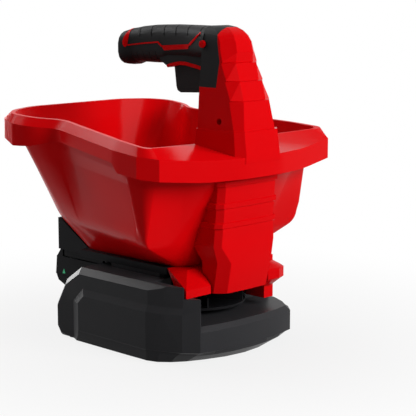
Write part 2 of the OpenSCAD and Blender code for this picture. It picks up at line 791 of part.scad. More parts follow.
module flow_dial() color(red) from_spindle() translate(dial_at) difference() {
    cross_rod(dial_d, dial_x, dial_x + dial_t);
    cross_rod(dial_d - 7, dial_x + dial_t - 3, dial_x + dial_t + 1);
    cross_rod(dial_shaft_d + 2 * seat, dial_x - 1, dial_x + dial_t);
    for (k = [0:dial_grips - 1]) rotate([360 / dial_grips * k, 0, 0]) translate([0, dial_d / 2 + 0.6, 0])
        cross_rod(2.4, dial_x + 4, dial_x + dial_t + 1);
}
module dial_face() color(grey) from_spindle() translate(dial_at) {
    cross_rod(dial_d - 7 - 2 * seat, dial_x + dial_t - 3, dial_x + dial_t - 1);
    cross_rod(9, dial_x + dial_t - 1, dial_x + dial_t + 1.5);
}

// Speed wheel with a vertical axis, part of its rim standing out of the left wall
wheel_at = [base_w / 2 - 11, 68, 60];
pot_low = wheel_at[2] - wheel_t / 2 - 11;
module speed_wheel() color([0.75, 0.1, 0.2]) from_spindle() translate(wheel_at) difference() {
    rod(wheel_d, -wheel_t / 2, wheel_t / 2);
    rod(4 + 2 * shaft_fit, -wheel_t, wheel_t);
    for (k = [0:29]) rotate(12 * k) translate([wheel_d / 2 + 0.4, 0, 0]) rod(1.6, -wheel_t, wheel_t);
}
module speed_pot() color(grey) from_spindle() translate(wheel_at) {
    rod(4, -wheel_t / 2 - 3, wheel_t / 2);
    box(-9, 3, -8, 8, pot_low - wheel_at[2], -wheel_t / 2 - 1);
}

// Base: plan, side and front outlines cut each other, then the open tray is cut away
base_half = base_w / 2;
// Front of the plan on the +X side, from the middle to the start of the straight side
front_curve = [
    [0, -base_front], [0.27 * base_half, 0.8 - base_front], [0.53 * base_half, 3 - base_front],
    [0.73 * base_half, 7 - base_front], [0.85 * base_half, 20 - base_front],
    [0.95 * base_half, 38 - base_front], [base_half, 55 - base_front]
];
rear_cut = 3;
// Share of the panel's thickness that each point of the front curve stands out by
panel_share = [0, 0, 0, 0.2, 0.5, 0.8, 1];
module whole_plan(half) {
    polygon(concat(half, [for (i = [len(half) - 1:-1:1]) [-half[i][0], half[i][1]]]));
}
function front_half_plan(d, front_d, out = 0) =
    let (k = (base_half - d) / base_half)
    [
        for (i = [0:len(front_curve) - 1])
            [front_curve[i][0] * k + out * panel_share[i], front_curve[i][1] + d + front_d]
    ];
module base_plan(d = 0, front_d = 0) {
    whole_plan(concat(
        front_half_plan(d, front_d),
        [[base_half - d, base_rear - rear_cut], [base_half - rear_cut - d, base_rear - d]]
    ));
}
base_low = foot_h;
bevel_low = 4;
front_bevel = 11;
undercut = 21;
side_chamfer = 6;
// Side view of the base, drawn in by d along the top and the rear
function side_view(d) = [
    [-base_front, base_low], [-base_front, base_top - d], [base_rear - 38 - 0.4 * d, base_top - d],
    [base_rear - 15 - 0.8 * d, base_top - 16 - 0.6 * d], [base_rear - d, base_top - 42 - 0.25 * d],
    [base_rear - d, base_low + 7 + 0.4 * d], [base_rear - 9 - 0.6 * d, base_low]
];
module base_outer() {
    intersection() {
        hull() {
            translate([0, 0, base_low]) linear_extrude(1) base_plan(0, undercut);
            translate([0, 0, base_low + front_bevel])
                linear_extrude(base_top - base_low - front_bevel) base_plan();
        }
        hull() {
            along_x(side_chamfer - base_half, base_half - side_chamfer) polygon(side_view(0));
            along_x(-base_half, base_half) polygon(side_view(side_chamfer));
        }
        along_y(-base_front - 1, base_rear + 1) polygon([
            [bevel_low / 2 - base_half, base_low], [-base_half, base_low + bevel_low],
            [-base_half, base_top], [base_half, base_top],
            [base_half, base_low + bevel_low], [base_half - bevel_low / 2, base_low]
        ]);
    }
}
// Raised side panels that wrap the front corners and fade out there, with sloping borders
panel_border = 7;
panel_rear = base_rear - 16;
panel_top = base_top - 20;
module panel_slice(z0, z1, out, rear, front_d = 0) {
    translate([0, 0, z0]) linear_extrude(z1 - z0)
        whole_plan(concat(front_half_plan(0, front_d, out), [[base_half + out, rear]]));
}
module side_panels() hull() {
    panel_slice(base_low + 2, base_low + 2.5, 0, panel_rear - panel_border, undercut);
    panel_slice(base_low + front_bevel, base_top - 42, panel_t, panel_rear - panel_border);
    panel_slice(base_low + front_bevel, base_top - 42, 0, panel_rear);
    panel_slice(
        panel_top - panel_border, panel_top - panel_border + 0.5, panel_t, panel_rear - 2 * panel_border
    );
    panel_slice(panel_top - 0.5, panel_top, 0, panel_rear - 10);
}
cavity_r = spinner_d / 2 + 3.5;
tray_open_x = -62.6;
guard_seat_x = -72.5;
tray_chamfer = 5;
left_open_y = -18;
bay_half = battery_half + 2;
motor_y = gear_m * (spindle_teeth + 2 * idler_teeth + motor_teeth) / 2;
idler_y = gear_m * (spindle_teeth + idler_teeth) / 2;
bay_front = motor_y + motor_d / 2 + 3.5;
cover_t = 3.5;
cover_low = foot_h;
idler_pin_d = 6;
gear_low = 12;
gear_t = 8;
base_screw_at = [[-62, -14], [62, -14], [-66, 88], [66, 88]];
boss_d = 9;
dial_boss_d = dial_d + 6;
tray_t = 3.5;
side_room = base_half - base_wall - 3;
boss_low = cover_low + cover_t;
room_low = base_low + front_bevel + 3;
module base_screw_places() { for (p = base_screw_at) translate([p[0], p[1], 0]) children(); }
module gear_plan(gap, front_d = 0) { offset(delta = -base_wall - gap) base_plan(8, front_d); }
// Chamfer round the open edge of the tray
module tray_edge() difference() {
    box(tray_open_x, 100, -120, left_open_y, tray_z - tray_chamfer, tray_z + 1);
    hull() {
        translate([0, 0, tray_z - tray_chamfer - 0.5]) linear_extrude(0.5) base_plan(0.01);
        translate([0, 0, tray_z]) linear_extrude(2) base_plan(tray_chamfer);
    }
}
// Outer body with the tray, the battery bay and the side rooms cut away
module base_body() {
    difference() {
        union() {
            base_outer();
            side_panels();
            translate(dial_at) cross_rod(dial_boss_d, base_half - 8, base_half + 3.5);
            box(-plate_half, 4 - cavity_r, -10, 60, base_top - 4, dock_low);
            for (x = [-46, 30]) box(x, x + 16, 60, 84, base_top - 4, dock_low);
        }
        box(tray_open_x, 100, -120, left_open_y, tray_z, 120);
        box(guard_seat_x, 100, -120, left_open_y, guard_low, 120);
        tray_edge();
        rod(2 * cavity_r, tray_z, 120);
        box(-bay_half, bay_half, bay_front, 200, battery_z - 0.5, 120);
        translate([0, 0, -1]) linear_extrude(tray_z - tray_t + 1) gear_plan(0, undercut - 4);
        translate([0, 0, room_low]) linear_extrude(tray_z - tray_t - room_low) gear_plan(0);
        box(16, side_room, cavity_r + 3, bay_front - 3, 0, base_top - base_wall);
        box(-side_room, -16, cavity_r + 3, bay_front - 3, 0, base_top - base_wall);
    }
}
module base_housing() color(grey) from_spindle() difference() {
    union() {
        base_body();
        rod(bearing_d + 6, tray_z - 9, tray_z - 1);
        base_screw_places() rod(boss_d, boss_low, tray_z - 1);
        box(wheel_at[0] - 11, side_room + 1, wheel_at[1] - 8, wheel_at[1] + 8, tray_z - tray_t, pot_low);
    }
    translate([0, motor_y, 0]) rod(motor_d + 2 * seat, tray_z, base_top + 1);
    translate([0, motor_y, 0]) rod(10 + 2 * seat, 0, base_top);
    rod(spindle_d + 2, 0, base_top);
    rod(bearing_d + 2 * seat, 0, tray_z - 1);
    translate([0, idler_y, 0]) rod(idler_pin_d + 2 * seat, 0, tray_z - 1);
    translate(dial_at) cross_rod(dial_shaft_d + 2 * shaft_fit, 40, 120);
    translate(dial_at) cross_rod(22, cavity_r - 8, base_half - base_wall);
    translate(wheel_at) rod(wheel_d + 2, -wheel_t / 2 - 0.6, wheel_t / 2 + 0.6);
    base_screw_places() rod(screw_d + 2 * seat, 0, 25);
}
module base_cover() color(black) from_spindle() difference() {
    translate([0, 0, cover_low]) linear_extrude(cover_t) gear_plan(fit, undercut - 4);
    translate([0, idler_y, 0]) rod(idler_pin_d + 2 * seat, cover_low + 1, 20);
    base_screw_places() rod(screw_d + 2 * seat, 0, 20);
    base_screw_places() rod(screw_head_d + 2 * fit, 0, cover_low + 2);
}
module base_screws() color(steel) from_spindle() base_screw_places() {
    rod(screw_d, cover_low + 1, 24);
    rod(screw_head_d, cover_low + 0.2, cover_low + 2);
}
feet_at = [[-50, -34], [50, -34], [-66, 70], [66, 70]];
module rubber_feet() color(black) from_spindle() for (p = feet_at) translate([p[0], p[1], 0]) {
    rod(16, 0, cover_low);
}
module lower_bearing() color(brass) from_spindle() bearing(tray_z - 9, tray_z - 1 - seat);

spindle_low = cover_low + cover_t + 1;
spindle_top = floor_z + 14;
module spindle() color(steel) from_spindle() rod(spindle_d, spindle_low, spindle_top);
module drive_gear(teeth, bore, turn) {
    translate([0, 0, gear_low]) difference() {
        linear_extrude(gear_t) rotate(turn) gear_outline(gear_m, teeth);
        rod(bore, -1, gear_t + 1);
    }
}
module spindle_gear() color(ivory) from_spindle() drive_gear(spindle_teeth, spindle_d + 2 * seat, 90);
module idler_gear() color(ivory) from_spindle() translate([0, idler_y, 0])
    drive_gear(idler_teeth, idler_pin_d + 2 * shaft_fit, 270 + 180 / idler_teeth);
module idler_pin() color(steel) from_spindle() translate([0, idler_y, 0])
    rod(idler_pin_d, cover_low + 1, tray_z - 1);
motor_shaft_d = 3;
module motor_pinion() color(brass) from_spindle() translate([0, motor_y, 0])
    drive_gear(motor_teeth, motor_shaft_d + 2 * seat, 270 + 180 / motor_teeth);
module motor() color(steel) from_spindle() translate([0, motor_y, 0]) {
    rod(motor_d, tray_z, tray_z + motor_l);
    rod(10, tray_z - tray_t, tray_z);
    rod(motor_shaft_d, gear_low - 2, tray_z);
}

disc_low = tray_z + 5;
disc_t = 2.5;
vane_h = 12;
hub_d = 22;
module spinner() color(black) from_spindle() difference() {
    union() {
        rod(spinner_d, disc_low, disc_low + disc_t);
        rod(hub_d, disc_low, disc_low + vane_h + 2);
        for (k = [0:vanes - 1]) rotate(360 / vanes * k)
            box(8, spinner_d / 2 - 1, -1, 1, disc_low, disc_low + vane_h);
    }
    rod(spindle_d + 2 * seat, disc_low - 1, disc_low + 40);
}
module agitator() color(black) from_spindle() difference() {
    union() {
        rod(16, floor_z + 0.5, floor_z + 12);
        for (k = [0:2]) rotate(120 * k) translate([0, 0, floor_z + 4]) cross_rod(4, 0, 18);
    }
    rod(spindle_d + 2 * seat, floor_z - 1, floor_z + 20);
}

// Battery pack on the dock's rails
battery_front = bay_front + 1;
battery_top = 68.5;
case_split = 48;
cheek_w = 10;
module battery_side(z0, z1) {
    along_x(-battery_half, battery_half) intersection() {
        translate([battery_front, z0]) square([120, z1 - z0]);
        polygon([
            [battery_front, battery_z + 3], [battery_front + 3, battery_z],
            [battery_rear - 16, battery_z], [battery_rear - 4, battery_z + 5],
            [battery_rear, battery_z + 12], [battery_rear - 2, battery_top], [battery_front, battery_top]
        ]);
    }
}
module battery_case() color(black) from_spindle() battery_side(battery_z, case_split);
module battery_lid() color(black) from_spindle() difference() {
    union() {
        battery_side(case_split, battery_top);
        box(-tongue_half, tongue_half, battery_front + 8, battery_rear - 18,
            battery_top - 1, dock_rear_low - fit);
        for (x = [-battery_half, battery_half - cheek_w]) along_x(x, x + cheek_w) polygon([
            [dock_back + 0.5, battery_top - 1], [dock_back + 0.5, dock_rear_low],
            [dock_back + 3, dock_rear_low], [battery_rear - 2, battery_top - 1]
        ]);
    }
    light_slot(seat);
    box(tongue_half - rail_lip, tongue_half + 1, battery_front, battery_rear,
        rail_low - fit, rail_low + rail_lip_t + fit);
    box(-tongue_half - 1, rail_lip - tongue_half, battery_front, battery_rear,
        rail_low - fit, rail_low + rail_lip_t + fit);
    for (x = [-12, 0, 12]) box(x - 1.2, x + 1.2, battery_front, 124, 70.5, 78);
    box(-15 - fit, 15 + fit, battery_rear - 15 - fit, battery_rear - 5 + fit, battery_top - 4, 80);
}
module battery_release() color(red) from_spindle() {
    box(-15, 15, battery_rear - 15, battery_rear - 5, battery_top - 0.5, battery_top + 3);
}
light_at = [157, 50.5];
module light_slot(gap) {
    translate([-battery_half - 0.3, light_at[0], light_at[1]]) rotate([90, 0, 90])
        linear_extrude(1.3 + gap) offset(delta = gap) polygon([[-2, 0], [2.5, -0.5], [0, 5]]);
}
module charge_light() color(green) from_spindle() light_slot(0);

hopper();
handle_left_shell();
handle_right_shell();
grip_left_pad();
grip_right_pad();
handle_screws();
trigger_bezel();
trigger();
trigger_switch();
trigger_spring();
lock_button();
wire_loom();
spinner_guard();
dock();
upper_bearing();
control_board();
contact_block();
shutter();
dial_shaft();
flow_dial();
dial_face();
speed_wheel();
speed_pot();
base_housing();
base_cover();
base_screws();
rubber_feet();
lower_bearing();
spindle();
spindle_gear();
spinner();
agitator();
idler_gear();
idler_pin();
motor();
motor_pinion();
battery_case();
battery_lid();
battery_release();
charge_light();
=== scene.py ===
"""Studio scene of a handheld electric spreader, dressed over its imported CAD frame.

Sizes are millimetres in the working frame of the part, whose origin is the foot of the
spindle's axis. The throwing side faces -Y, the user's left is +X and +Z is up.
"""

import logging
import math
from dataclasses import dataclass, field
from enum import Enum
from typing import Any, Dict, List, Optional, Sequence, Tuple

import bmesh
import bpy
from mathutils import Matrix, Vector


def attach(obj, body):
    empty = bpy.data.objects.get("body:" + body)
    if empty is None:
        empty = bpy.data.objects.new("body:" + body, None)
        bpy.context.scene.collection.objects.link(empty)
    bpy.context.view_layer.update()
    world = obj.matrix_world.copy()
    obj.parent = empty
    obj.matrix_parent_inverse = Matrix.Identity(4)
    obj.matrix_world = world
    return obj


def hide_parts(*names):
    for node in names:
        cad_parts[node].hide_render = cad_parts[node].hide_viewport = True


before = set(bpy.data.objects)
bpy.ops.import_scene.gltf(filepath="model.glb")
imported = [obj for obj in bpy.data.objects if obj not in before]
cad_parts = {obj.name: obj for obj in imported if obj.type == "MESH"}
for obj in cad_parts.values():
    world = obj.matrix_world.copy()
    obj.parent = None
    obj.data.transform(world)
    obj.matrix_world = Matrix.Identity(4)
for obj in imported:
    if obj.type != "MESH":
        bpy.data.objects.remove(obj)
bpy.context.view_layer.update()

LOG = logging.getLogger("spreader")
MM = 0.001
SPINDLE_Y = -48.0
WELD = 2e-6
ROUND_ANGLE = 28.0
FLAT_ANGLE = 0.4
SMOOTH_SHARE = 1.25
SMOOTH_ANGLE = 35.0
WHITE = "#FFFFFF"

Point = Tuple[float, float, float]
Flat = Tuple[float, float]
Faces = List[List[int]]


class Edge(Enum):
    """Width in millimetres of the rounding that a mould leaves on an outside edge."""

    NONE = 0.0
    FINE = 0.25
    SMALL = 0.5
    SOFT = 0.9


class Side(Enum):
    """The user's side of the part, as the sign of X."""

    LEFT = 1
    RIGHT = -1


def linear(colour: str) -> Tuple[float, float, float, float]:
    """Turns an sRGB hex colour into linear values.

    Args:
        colour: six hex digits after a hash sign.

    Returns:
        Red, green, blue and alpha.
    """
    parts = [int(colour[i:i + 2], 16) / 255 for i in (1, 3, 5)]
    red, green, blue = [c / 12.92 if c <= 0.04045 else ((c + 0.055) / 1.055) ** 2.4 for c in parts]
    return red, green, blue, 1.0


def add_node(tree: bpy.types.NodeTree, kind: str, settings: Optional[Dict[Any, Any]] = None,
             links: Optional[Dict[Any, bpy.types.NodeSocket]] = None) -> bpy.types.Node:
    """Adds a node with its settings and its incoming links.

    Args:
        tree: the node tree to add to.
        kind: the node's type name.
        settings: properties of the node, or values of its input sockets by name or number.
        links: output sockets to join to its input sockets, by name or number.

    Returns:
        The new node.
    """
    node = tree.nodes.new(kind)
    for key, value in (settings or {}).items():
        if isinstance(key, str) and hasattr(node, key):
            setattr(node, key, value)
        else:
            node.inputs[key].default_value = value
    for key, socket in (links or {}).items():
        tree.links.new(socket, node.inputs[key])
    return node


def place(x: float, y: float, z: float) -> Vector:
    """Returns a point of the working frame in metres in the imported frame."""
    return Vector((x, y + SPINDLE_Y, z)) * MM


def across(point: Vector) -> Vector:
    """Returns a point's mirror image on the other side of the part."""
    return Vector((-point.x, point.y, point.z))


def corners(wide: float, tall: float) -> List[Flat]:
    """Returns the corners of a rectangle from its half sizes."""
    return [(-wide, -tall), (wide, -tall), (wide, tall), (-wide, tall)]


@dataclass(frozen=True)
class Finish:
    """A real material and the way its surface was made.

    Attributes:
        name: material and process.
        colour: main colour.
        shade: second colour that the main one drifts to.
        drift_mm: size of the drift in colour.
        roughness: middle of the roughness.
        rough_spread: how far the roughness wanders.
        ior: index of refraction, which metals leave at its default.
        specular: specular level, half for a plain dielectric.
        metallic: one for metals.
        grain_mm: spacing of the surface grain.
        grain_depth_mm: height of the surface grain.
        sheen: weight of the soft bloom on rubbery skins.
        glow: strength of light given off.
    """

    name: str
    colour: str
    shade: str
    drift_mm: float = 60.0
    roughness: float = 0.3
    rough_spread: float = 0.06
    ior: float = 1.5
    specular: float = 0.5
    metallic: float = 0.0
    grain_mm: float = 1.5
    grain_depth_mm: float = 0.01
    sheen: float = 0.0
    glow: float = 0.0

    def material(self) -> bpy.types.Material:
        """Returns the material, built on first use."""
        found = bpy.data.materials.get(self.name)
        return found or self.build()

    def build(self) -> bpy.types.Material:
        """Builds the node tree of the finish.

        Returns:
            The new material.
        """
        material = bpy.data.materials.new(self.name)
        material.use_nodes = True
        tree = material.node_tree
        tree.nodes.clear()
        where = add_node(tree, "ShaderNodeTexCoord").outputs["Object"]
        drift = add_node(tree, "ShaderNodeTexNoise",
                         {"Scale": 1 / (self.drift_mm * MM), "Detail": 3.0}, {"Vector": where})
        tint = add_node(tree, "ShaderNodeMix",
                        {"data_type": "RGBA", 6: linear(self.colour), 7: linear(self.shade)},
                        {0: drift.outputs["Fac"]})
        grain = self.grain(tree, where)
        polish = add_node(tree, "ShaderNodeMapRange",
                          {"To Min": self.roughness - self.rough_spread,
                           "To Max": self.roughness + self.rough_spread},
                          {"Value": drift.outputs["Fac"]})
        bump = add_node(tree, "ShaderNodeBump",
                        {"Strength": 0.6, "Distance": self.grain_depth_mm * MM}, {"Height": grain})
        settings = {"Metallic": self.metallic, "Specular IOR Level": self.specular,
                    "Sheen Weight": self.sheen, "Emission Color": linear(self.colour),
                    "Emission Strength": self.glow}
        if not self.metallic:
            settings["IOR"] = self.ior
        shader = add_node(tree, "ShaderNodeBsdfPrincipled", settings, {
            "Base Color": tint.outputs[2], "Roughness": polish.outputs["Result"],
            "Normal": bump.outputs["Normal"]})
        add_node(tree, "ShaderNodeOutputMaterial", {}, {"Surface": shader.outputs["BSDF"]})
        return material

    def grain(self, tree: bpy.types.NodeTree, where: bpy.types.NodeSocket) -> bpy.types.NodeSocket:
        """Adds the fine relief of a moulded skin.

        Args:
            tree: the material's nodes.
            where: the coordinates to read.

        Returns:
            The height of the relief.
        """
        noise = add_node(tree, "ShaderNodeTexNoise",
                         {"Scale": 1 / (self.grain_mm * MM), "Detail": 2.0}, {"Vector": where})
        return noise.outputs["Fac"]


@dataclass(frozen=True)
class PebbledFinish(Finish):
    """A mould skin with small rounded pebbles, as on soft-touch rubber."""

    def grain(self, tree: bpy.types.NodeTree, where: bpy.types.NodeSocket) -> bpy.types.NodeSocket:
        """Adds rounded cells in place of the even grain."""
        cells = add_node(tree, "ShaderNodeTexVoronoi",
                         {"feature": "SMOOTH_F1", "Scale": 1 / (self.grain_mm * MM)}, {"Vector": where})
        return cells.outputs["Distance"]


@dataclass(frozen=True)
class TurnedFinish(Finish):
    """A lathe-turned metal, whose fine rings stretch the highlight along the axis."""

    def grain(self, tree: bpy.types.NodeTree, where: bpy.types.NodeSocket) -> bpy.types.NodeSocket:
        """Adds rings across the axis in place of the even grain."""
        rings = add_node(tree, "ShaderNodeTexWave",
                         {"bands_direction": "Z", "Scale": 0.3 / (self.grain_mm * MM), "Distortion": 0.6},
                         {"Vector": where})
        return rings.outputs["Fac"]


# Mould grain that is too fine to show in the picture is drawn at up to 1.2 mm in these finishes
# Polished mould steel gives this ABS soft reflections over a deep red, with a faint 4 mm waviness
RED_ABS = Finish("ABS_gloss_moulded_red", "#D00409", "#C60308", 90, 0.2, 0.03, 1.53, 0.02,
                 grain_mm=4.0, grain_depth_mm=0.012)
# The same red in the parts that fingers turn, slightly duller
CRIMSON_ABS = Finish("ABS_satin_moulded_crimson", "#D01030", "#B80C28", 40, 0.34, 0.04, 1.53, 0.4,
                     grain_mm=1.2, grain_depth_mm=0.01)
# Spark-eroded texture scatters the reflection of the charcoal housing; drawn at 0.9 mm to show
CHARCOAL_ABS = Finish("ABS_spark_textured_charcoal", "#29292B", "#303032", 50, 0.36, 0.05, 1.52, 0.06,
                      grain_mm=0.9, grain_depth_mm=0.02)
# Smooth black ABS with a weak gloss, as on the dock and the pack
BLACK_ABS = Finish("ABS_satin_moulded_black", "#161618", "#1B1B1D", 50, 0.38, 0.05, 1.52, 0.04,
                   grain_mm=1.0, grain_depth_mm=0.015)
# Overmoulded TPE looks velvety, with pebbles that kill the gloss; drawn at 1.1 mm to show
BLACK_TPE = PebbledFinish("TPE_pebbled_overmould_black", "#161617", "#1C1C1D", 40, 0.5, 0.05, 1.5, 0.05,
                          grain_mm=1.1, grain_depth_mm=0.05, sheen=0.02)
# Vulcanised rubber is dull and dusty
RUBBER = PebbledFinish("rubber_vulcanised_black", "#1A1A1A", "#242424", 30, 0.75, 0.08, 1.5, 0.3,
                       grain_mm=0.8, grain_depth_mm=0.03)
# Bright bar steel with turning rings
STEEL = TurnedFinish("steel_turned_bright", "#B9BBBE", "#A4A6AA", 12, 0.28, 0.06, metallic=1.0,
                     grain_mm=0.6, grain_depth_mm=0.01)
# Zinc-plated screw heads, a little uneven
ZINC = Finish("steel_zinc_plated", "#9FA3A8", "#8B8F95", 4, 0.35, 0.08, metallic=1.0,
              grain_mm=0.5, grain_depth_mm=0.006)
# Pressed and sintered bronze is granular
BRONZE = Finish("bronze_sintered", "#A97C45", "#8F6636", 3, 0.42, 0.08, metallic=1.0,
                grain_mm=0.4, grain_depth_mm=0.02)
# Milky nylon gears with a waxy shine
NYLON = Finish("nylon_moulded_natural", "#E2DFD3", "#D6D2C4", 15, 0.38, 0.05, 1.53, 0.5,
               grain_mm=0.8, grain_depth_mm=0.01)
# Epoxy board under a green solder mask
BOARD = Finish("epoxy_board_solder_mask_green", "#145A32", "#0F4426", 6, 0.3, 0.06, 1.55, 0.5,
               grain_mm=0.7, grain_depth_mm=0.02)
# Tinted acrylic light pipe, faintly lit from behind
GREEN_LENS = Finish("acrylic_lens_green", "#0FA36B", "#0B8F5C", 3, 0.12, 0.03, 1.49, 0.5,
                    grain_mm=0.8, grain_depth_mm=0.004, glow=0.35)
# Pad-printed white marks are matt and slightly uneven
WHITE_INK = Finish("ink_pad_printed_white", "#EDEDE8", "#DEDED8", 2, 0.55, 0.06, 1.5, 0.4,
                   grain_mm=0.3, grain_depth_mm=0.004)


def smoothing(limit: float) -> bpy.types.NodeTree:
    """Returns a node group that shades a mesh smooth but for its sharp edges, built on first use.

    Args:
        limit: angle in degrees above which an edge stays sharp.

    Returns:
        The node group.
    """
    name = f"smooth_by_angle_{limit:g}"
    if name in bpy.data.node_groups:
        return bpy.data.node_groups[name]
    tree = bpy.data.node_groups.new(name, "GeometryNodeTree")
    for way in ("INPUT", "OUTPUT"):
        tree.interface.new_socket("Geometry", in_out=way, socket_type="NodeSocketGeometry")
    source = add_node(tree, "NodeGroupInput")
    smooth = add_node(tree, "GeometryNodeSetShadeSmooth", {"domain": "FACE"},
                      {"Geometry": source.outputs[0]})
    angle = add_node(tree, "GeometryNodeInputMeshEdgeAngle")
    sharp = add_node(tree, "FunctionNodeCompare",
                     {"data_type": "FLOAT", "operation": "GREATER_THAN", "B": math.radians(limit)},
                     {"A": angle.outputs["Unsigned Angle"]})
    creased = add_node(tree, "GeometryNodeSetShadeSmooth", {"domain": "EDGE", "Shade Smooth": False},
                       {"Geometry": smooth.outputs[0], "Selection": sharp.outputs["Result"]})
    add_node(tree, "NodeGroupOutput", {}, {0: creased.outputs[0]})
    return tree


def soften(piece: bpy.types.Object, edge: Edge, limit: float = ROUND_ANGLE, flats: bool = True) -> None:
    """Rounds the outside edges of a piece and evens its shading, through modifiers alone.

    Args:
        piece: the mesh object.
        edge: the rounding.
        limit: angle in degrees above which an edge is rounded.
        flats: whether the facets of each flat face are merged first.
    """
    weld = piece.modifiers.new("weld", "WELD")
    weld.merge_threshold = WELD
    if edge is not Edge.NONE:
        if flats:
            merge = piece.modifiers.new("merge_flats", "DECIMATE")
            merge.decimate_type = "DISSOLVE"
            merge.angle_limit = math.radians(FLAT_ANGLE)
        bevel = piece.modifiers.new("edge_radius", "BEVEL")
        bevel.width = edge.value * MM
        bevel.segments = 2
        bevel.limit_method = "ANGLE"
        bevel.angle_limit = math.radians(limit)
        bevel.use_clamp_overlap = True
        bevel.miter_outer = "MITER_ARC"
    shade = piece.modifiers.new("smooth_by_angle", "NODES")
    shade.node_group = smoothing(min(SMOOTH_SHARE * limit, SMOOTH_ANGLE))
    even = piece.modifiers.new("even_normals", "WEIGHTED_NORMAL")
    even.keep_sharp = True
    even.weight = 80


def finish_node(name: str, finish: Finish, edge: Edge, limit: float = ROUND_ANGLE,
                flats: bool = True) -> None:
    """Gives a CAD node its finish and edge rounding.

    Args:
        name: the node.
        finish: its material.
        edge: its edge rounding.
        limit: angle in degrees above which an edge is rounded.
        flats: whether the facets of each flat face are merged first.
    """
    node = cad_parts[name]
    if not node.material_slots:
        node.data.materials.append(None)
    for slot in node.material_slots:
        slot.material = finish.material()
    soften(node, edge, limit, flats)
    LOG.info("node %s: %s", name, finish.name)


def new_piece(name: str, points: Sequence[Vector], faces: Faces, finish: Finish,
              edge: Edge = Edge.NONE) -> bpy.types.Object:
    """Makes a mesh piece from points in metres.

    Args:
        name: name of the piece.
        points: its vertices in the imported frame.
        faces: its faces as vertex numbers.
        finish: its material.
        edge: its edge rounding.

    Returns:
        The new object, which rides on nothing yet.
    """
    mesh = bpy.data.meshes.new(name)
    mesh.from_pydata([tuple(p) for p in points], [], faces)
    shape = bmesh.new()
    shape.from_mesh(mesh)
    bmesh.ops.remove_doubles(shape, verts=shape.verts, dist=1e-7)
    bmesh.ops.recalc_face_normals(shape, faces=shape.faces)
    shape.to_mesh(mesh)
    shape.free()
    piece = bpy.data.objects.new(name, mesh)
    bpy.context.scene.collection.objects.link(piece)
    mesh.materials.append(finish.material())
    soften(piece, edge)
    return piece


def settle(piece: bpy.types.Object, body: str) -> bpy.types.Object:
    """Makes a piece ride on a body and reports it.

    Args:
        piece: the piece, in place.
        body: the CAD body that carries it.

    Returns:
        The same piece.
    """
    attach(piece, body)
    LOG.info("piece %s rides on %s", piece.name, body)
    return piece


def walls(count: int, whole: int, steps: int) -> Faces:
    """Returns the faces between neighbouring rings.

    Args:
        count: points in each ring.
        whole: rings in all.
        steps: pairs of neighbours to join, where one for each ring also joins the last to the first.

    Returns:
        The faces as vertex numbers.
    """
    return [[i * count + j, i * count + (j + 1) % count,
             (i + 1) % whole * count + (j + 1) % count, (i + 1) % whole * count + j]
            for i in range(steps) for j in range(count)]


def skin(rings: Sequence[Sequence[Vector]]) -> Tuple[List[Vector], Faces]:
    """Joins rings of points into a closed skin with end caps.

    Args:
        rings: lists of points with equal counts.

    Returns:
        The points and the faces.
    """
    count, whole = len(rings[0]), len(rings)
    last = (whole - 1) * count
    caps = [list(range(count))[::-1], [last + j for j in range(count)]]
    return [p for ring in rings for p in ring], walls(count, whole, whole - 1) + caps


def wrap(rings: Sequence[Sequence[Vector]]) -> Tuple[List[Vector], Faces]:
    """Joins rings of points into a closed skin whose last ring meets the first.

    Args:
        rings: lists of points with equal counts.

    Returns:
        The points and the faces.
    """
    count, whole = len(rings[0]), len(rings)
    return [p for ring in rings for p in ring], walls(count, whole, whole)


def solid(name: str, rings: Sequence[Sequence[Vector]], finish: Finish) -> bpy.types.Object:
    """Makes a scratch solid, to join or to cut with, from rings of points in the working frame.

    Args:
        name: name of the scratch object.
        rings: lists of points with equal counts.
        finish: its material.

    Returns:
        The new object.
    """
    points, faces = skin(rings)
    return new_piece(name, [place(*p) for p in points], faces, finish)


def slab(grid: Sequence[Sequence[Vector]], normals: Sequence[Sequence[Vector]],
         low: float, high: float) -> Tuple[List[Vector], Faces]:
    """Thickens a grid of surface points into a closed shell.

    Args:
        grid: rows of points.
        normals: the surface normal at each point.
        low: offset of the under face in metres.
        high: offset of the outer face in metres.

    Returns:
        The points and the faces.
    """
    rows, columns = len(grid), len(grid[0])
    points = [grid[i][j] + normals[i][j] * h
              for h in (low, high) for i in range(rows) for j in range(columns)]
    top = rows * columns
    faces = []
    for i in range(rows - 1):
        for j in range(columns - 1):
            quad = [i * columns + j, i * columns + j + 1, (i + 1) * columns + j + 1, (i + 1) * columns + j]
            faces += [quad[::-1], [top + q for q in quad]]
    rim = ([j for j in range(columns)]
           + [i * columns + columns - 1 for i in range(1, rows)]
           + [(rows - 1) * columns + j for j in range(columns - 2, -1, -1)]
           + [i * columns for i in range(rows - 2, 0, -1)])
    faces += [[a, b, top + b, top + a] for a, b in zip(rim, rim[1:] + rim[:1])]
    return points, faces


def combine(piece: bpy.types.Object, steps: Sequence[Tuple[str, bpy.types.Object]],
            finish: Finish) -> None:
    """Joins other solids to a piece, or cuts them from it, and keeps the result as its mesh.

    Args:
        piece: the piece, whose modifiers are used up.
        steps: Boolean operations in order, each with its solid.
        finish: material of the result.
    """
    name = piece.data.name
    for way, solid in steps:
        step = piece.modifiers.new(way.lower(), "BOOLEAN")
        step.operation = way
        step.solver = "EXACT"
        step.object = solid
    bpy.context.view_layer.update()
    mesh = bpy.data.meshes.new_from_object(piece.evaluated_get(bpy.context.evaluated_depsgraph_get()))
    piece.modifiers.clear()
    piece.data = mesh
    mesh.name = name
    mesh.materials.clear()
    mesh.materials.append(finish.material())


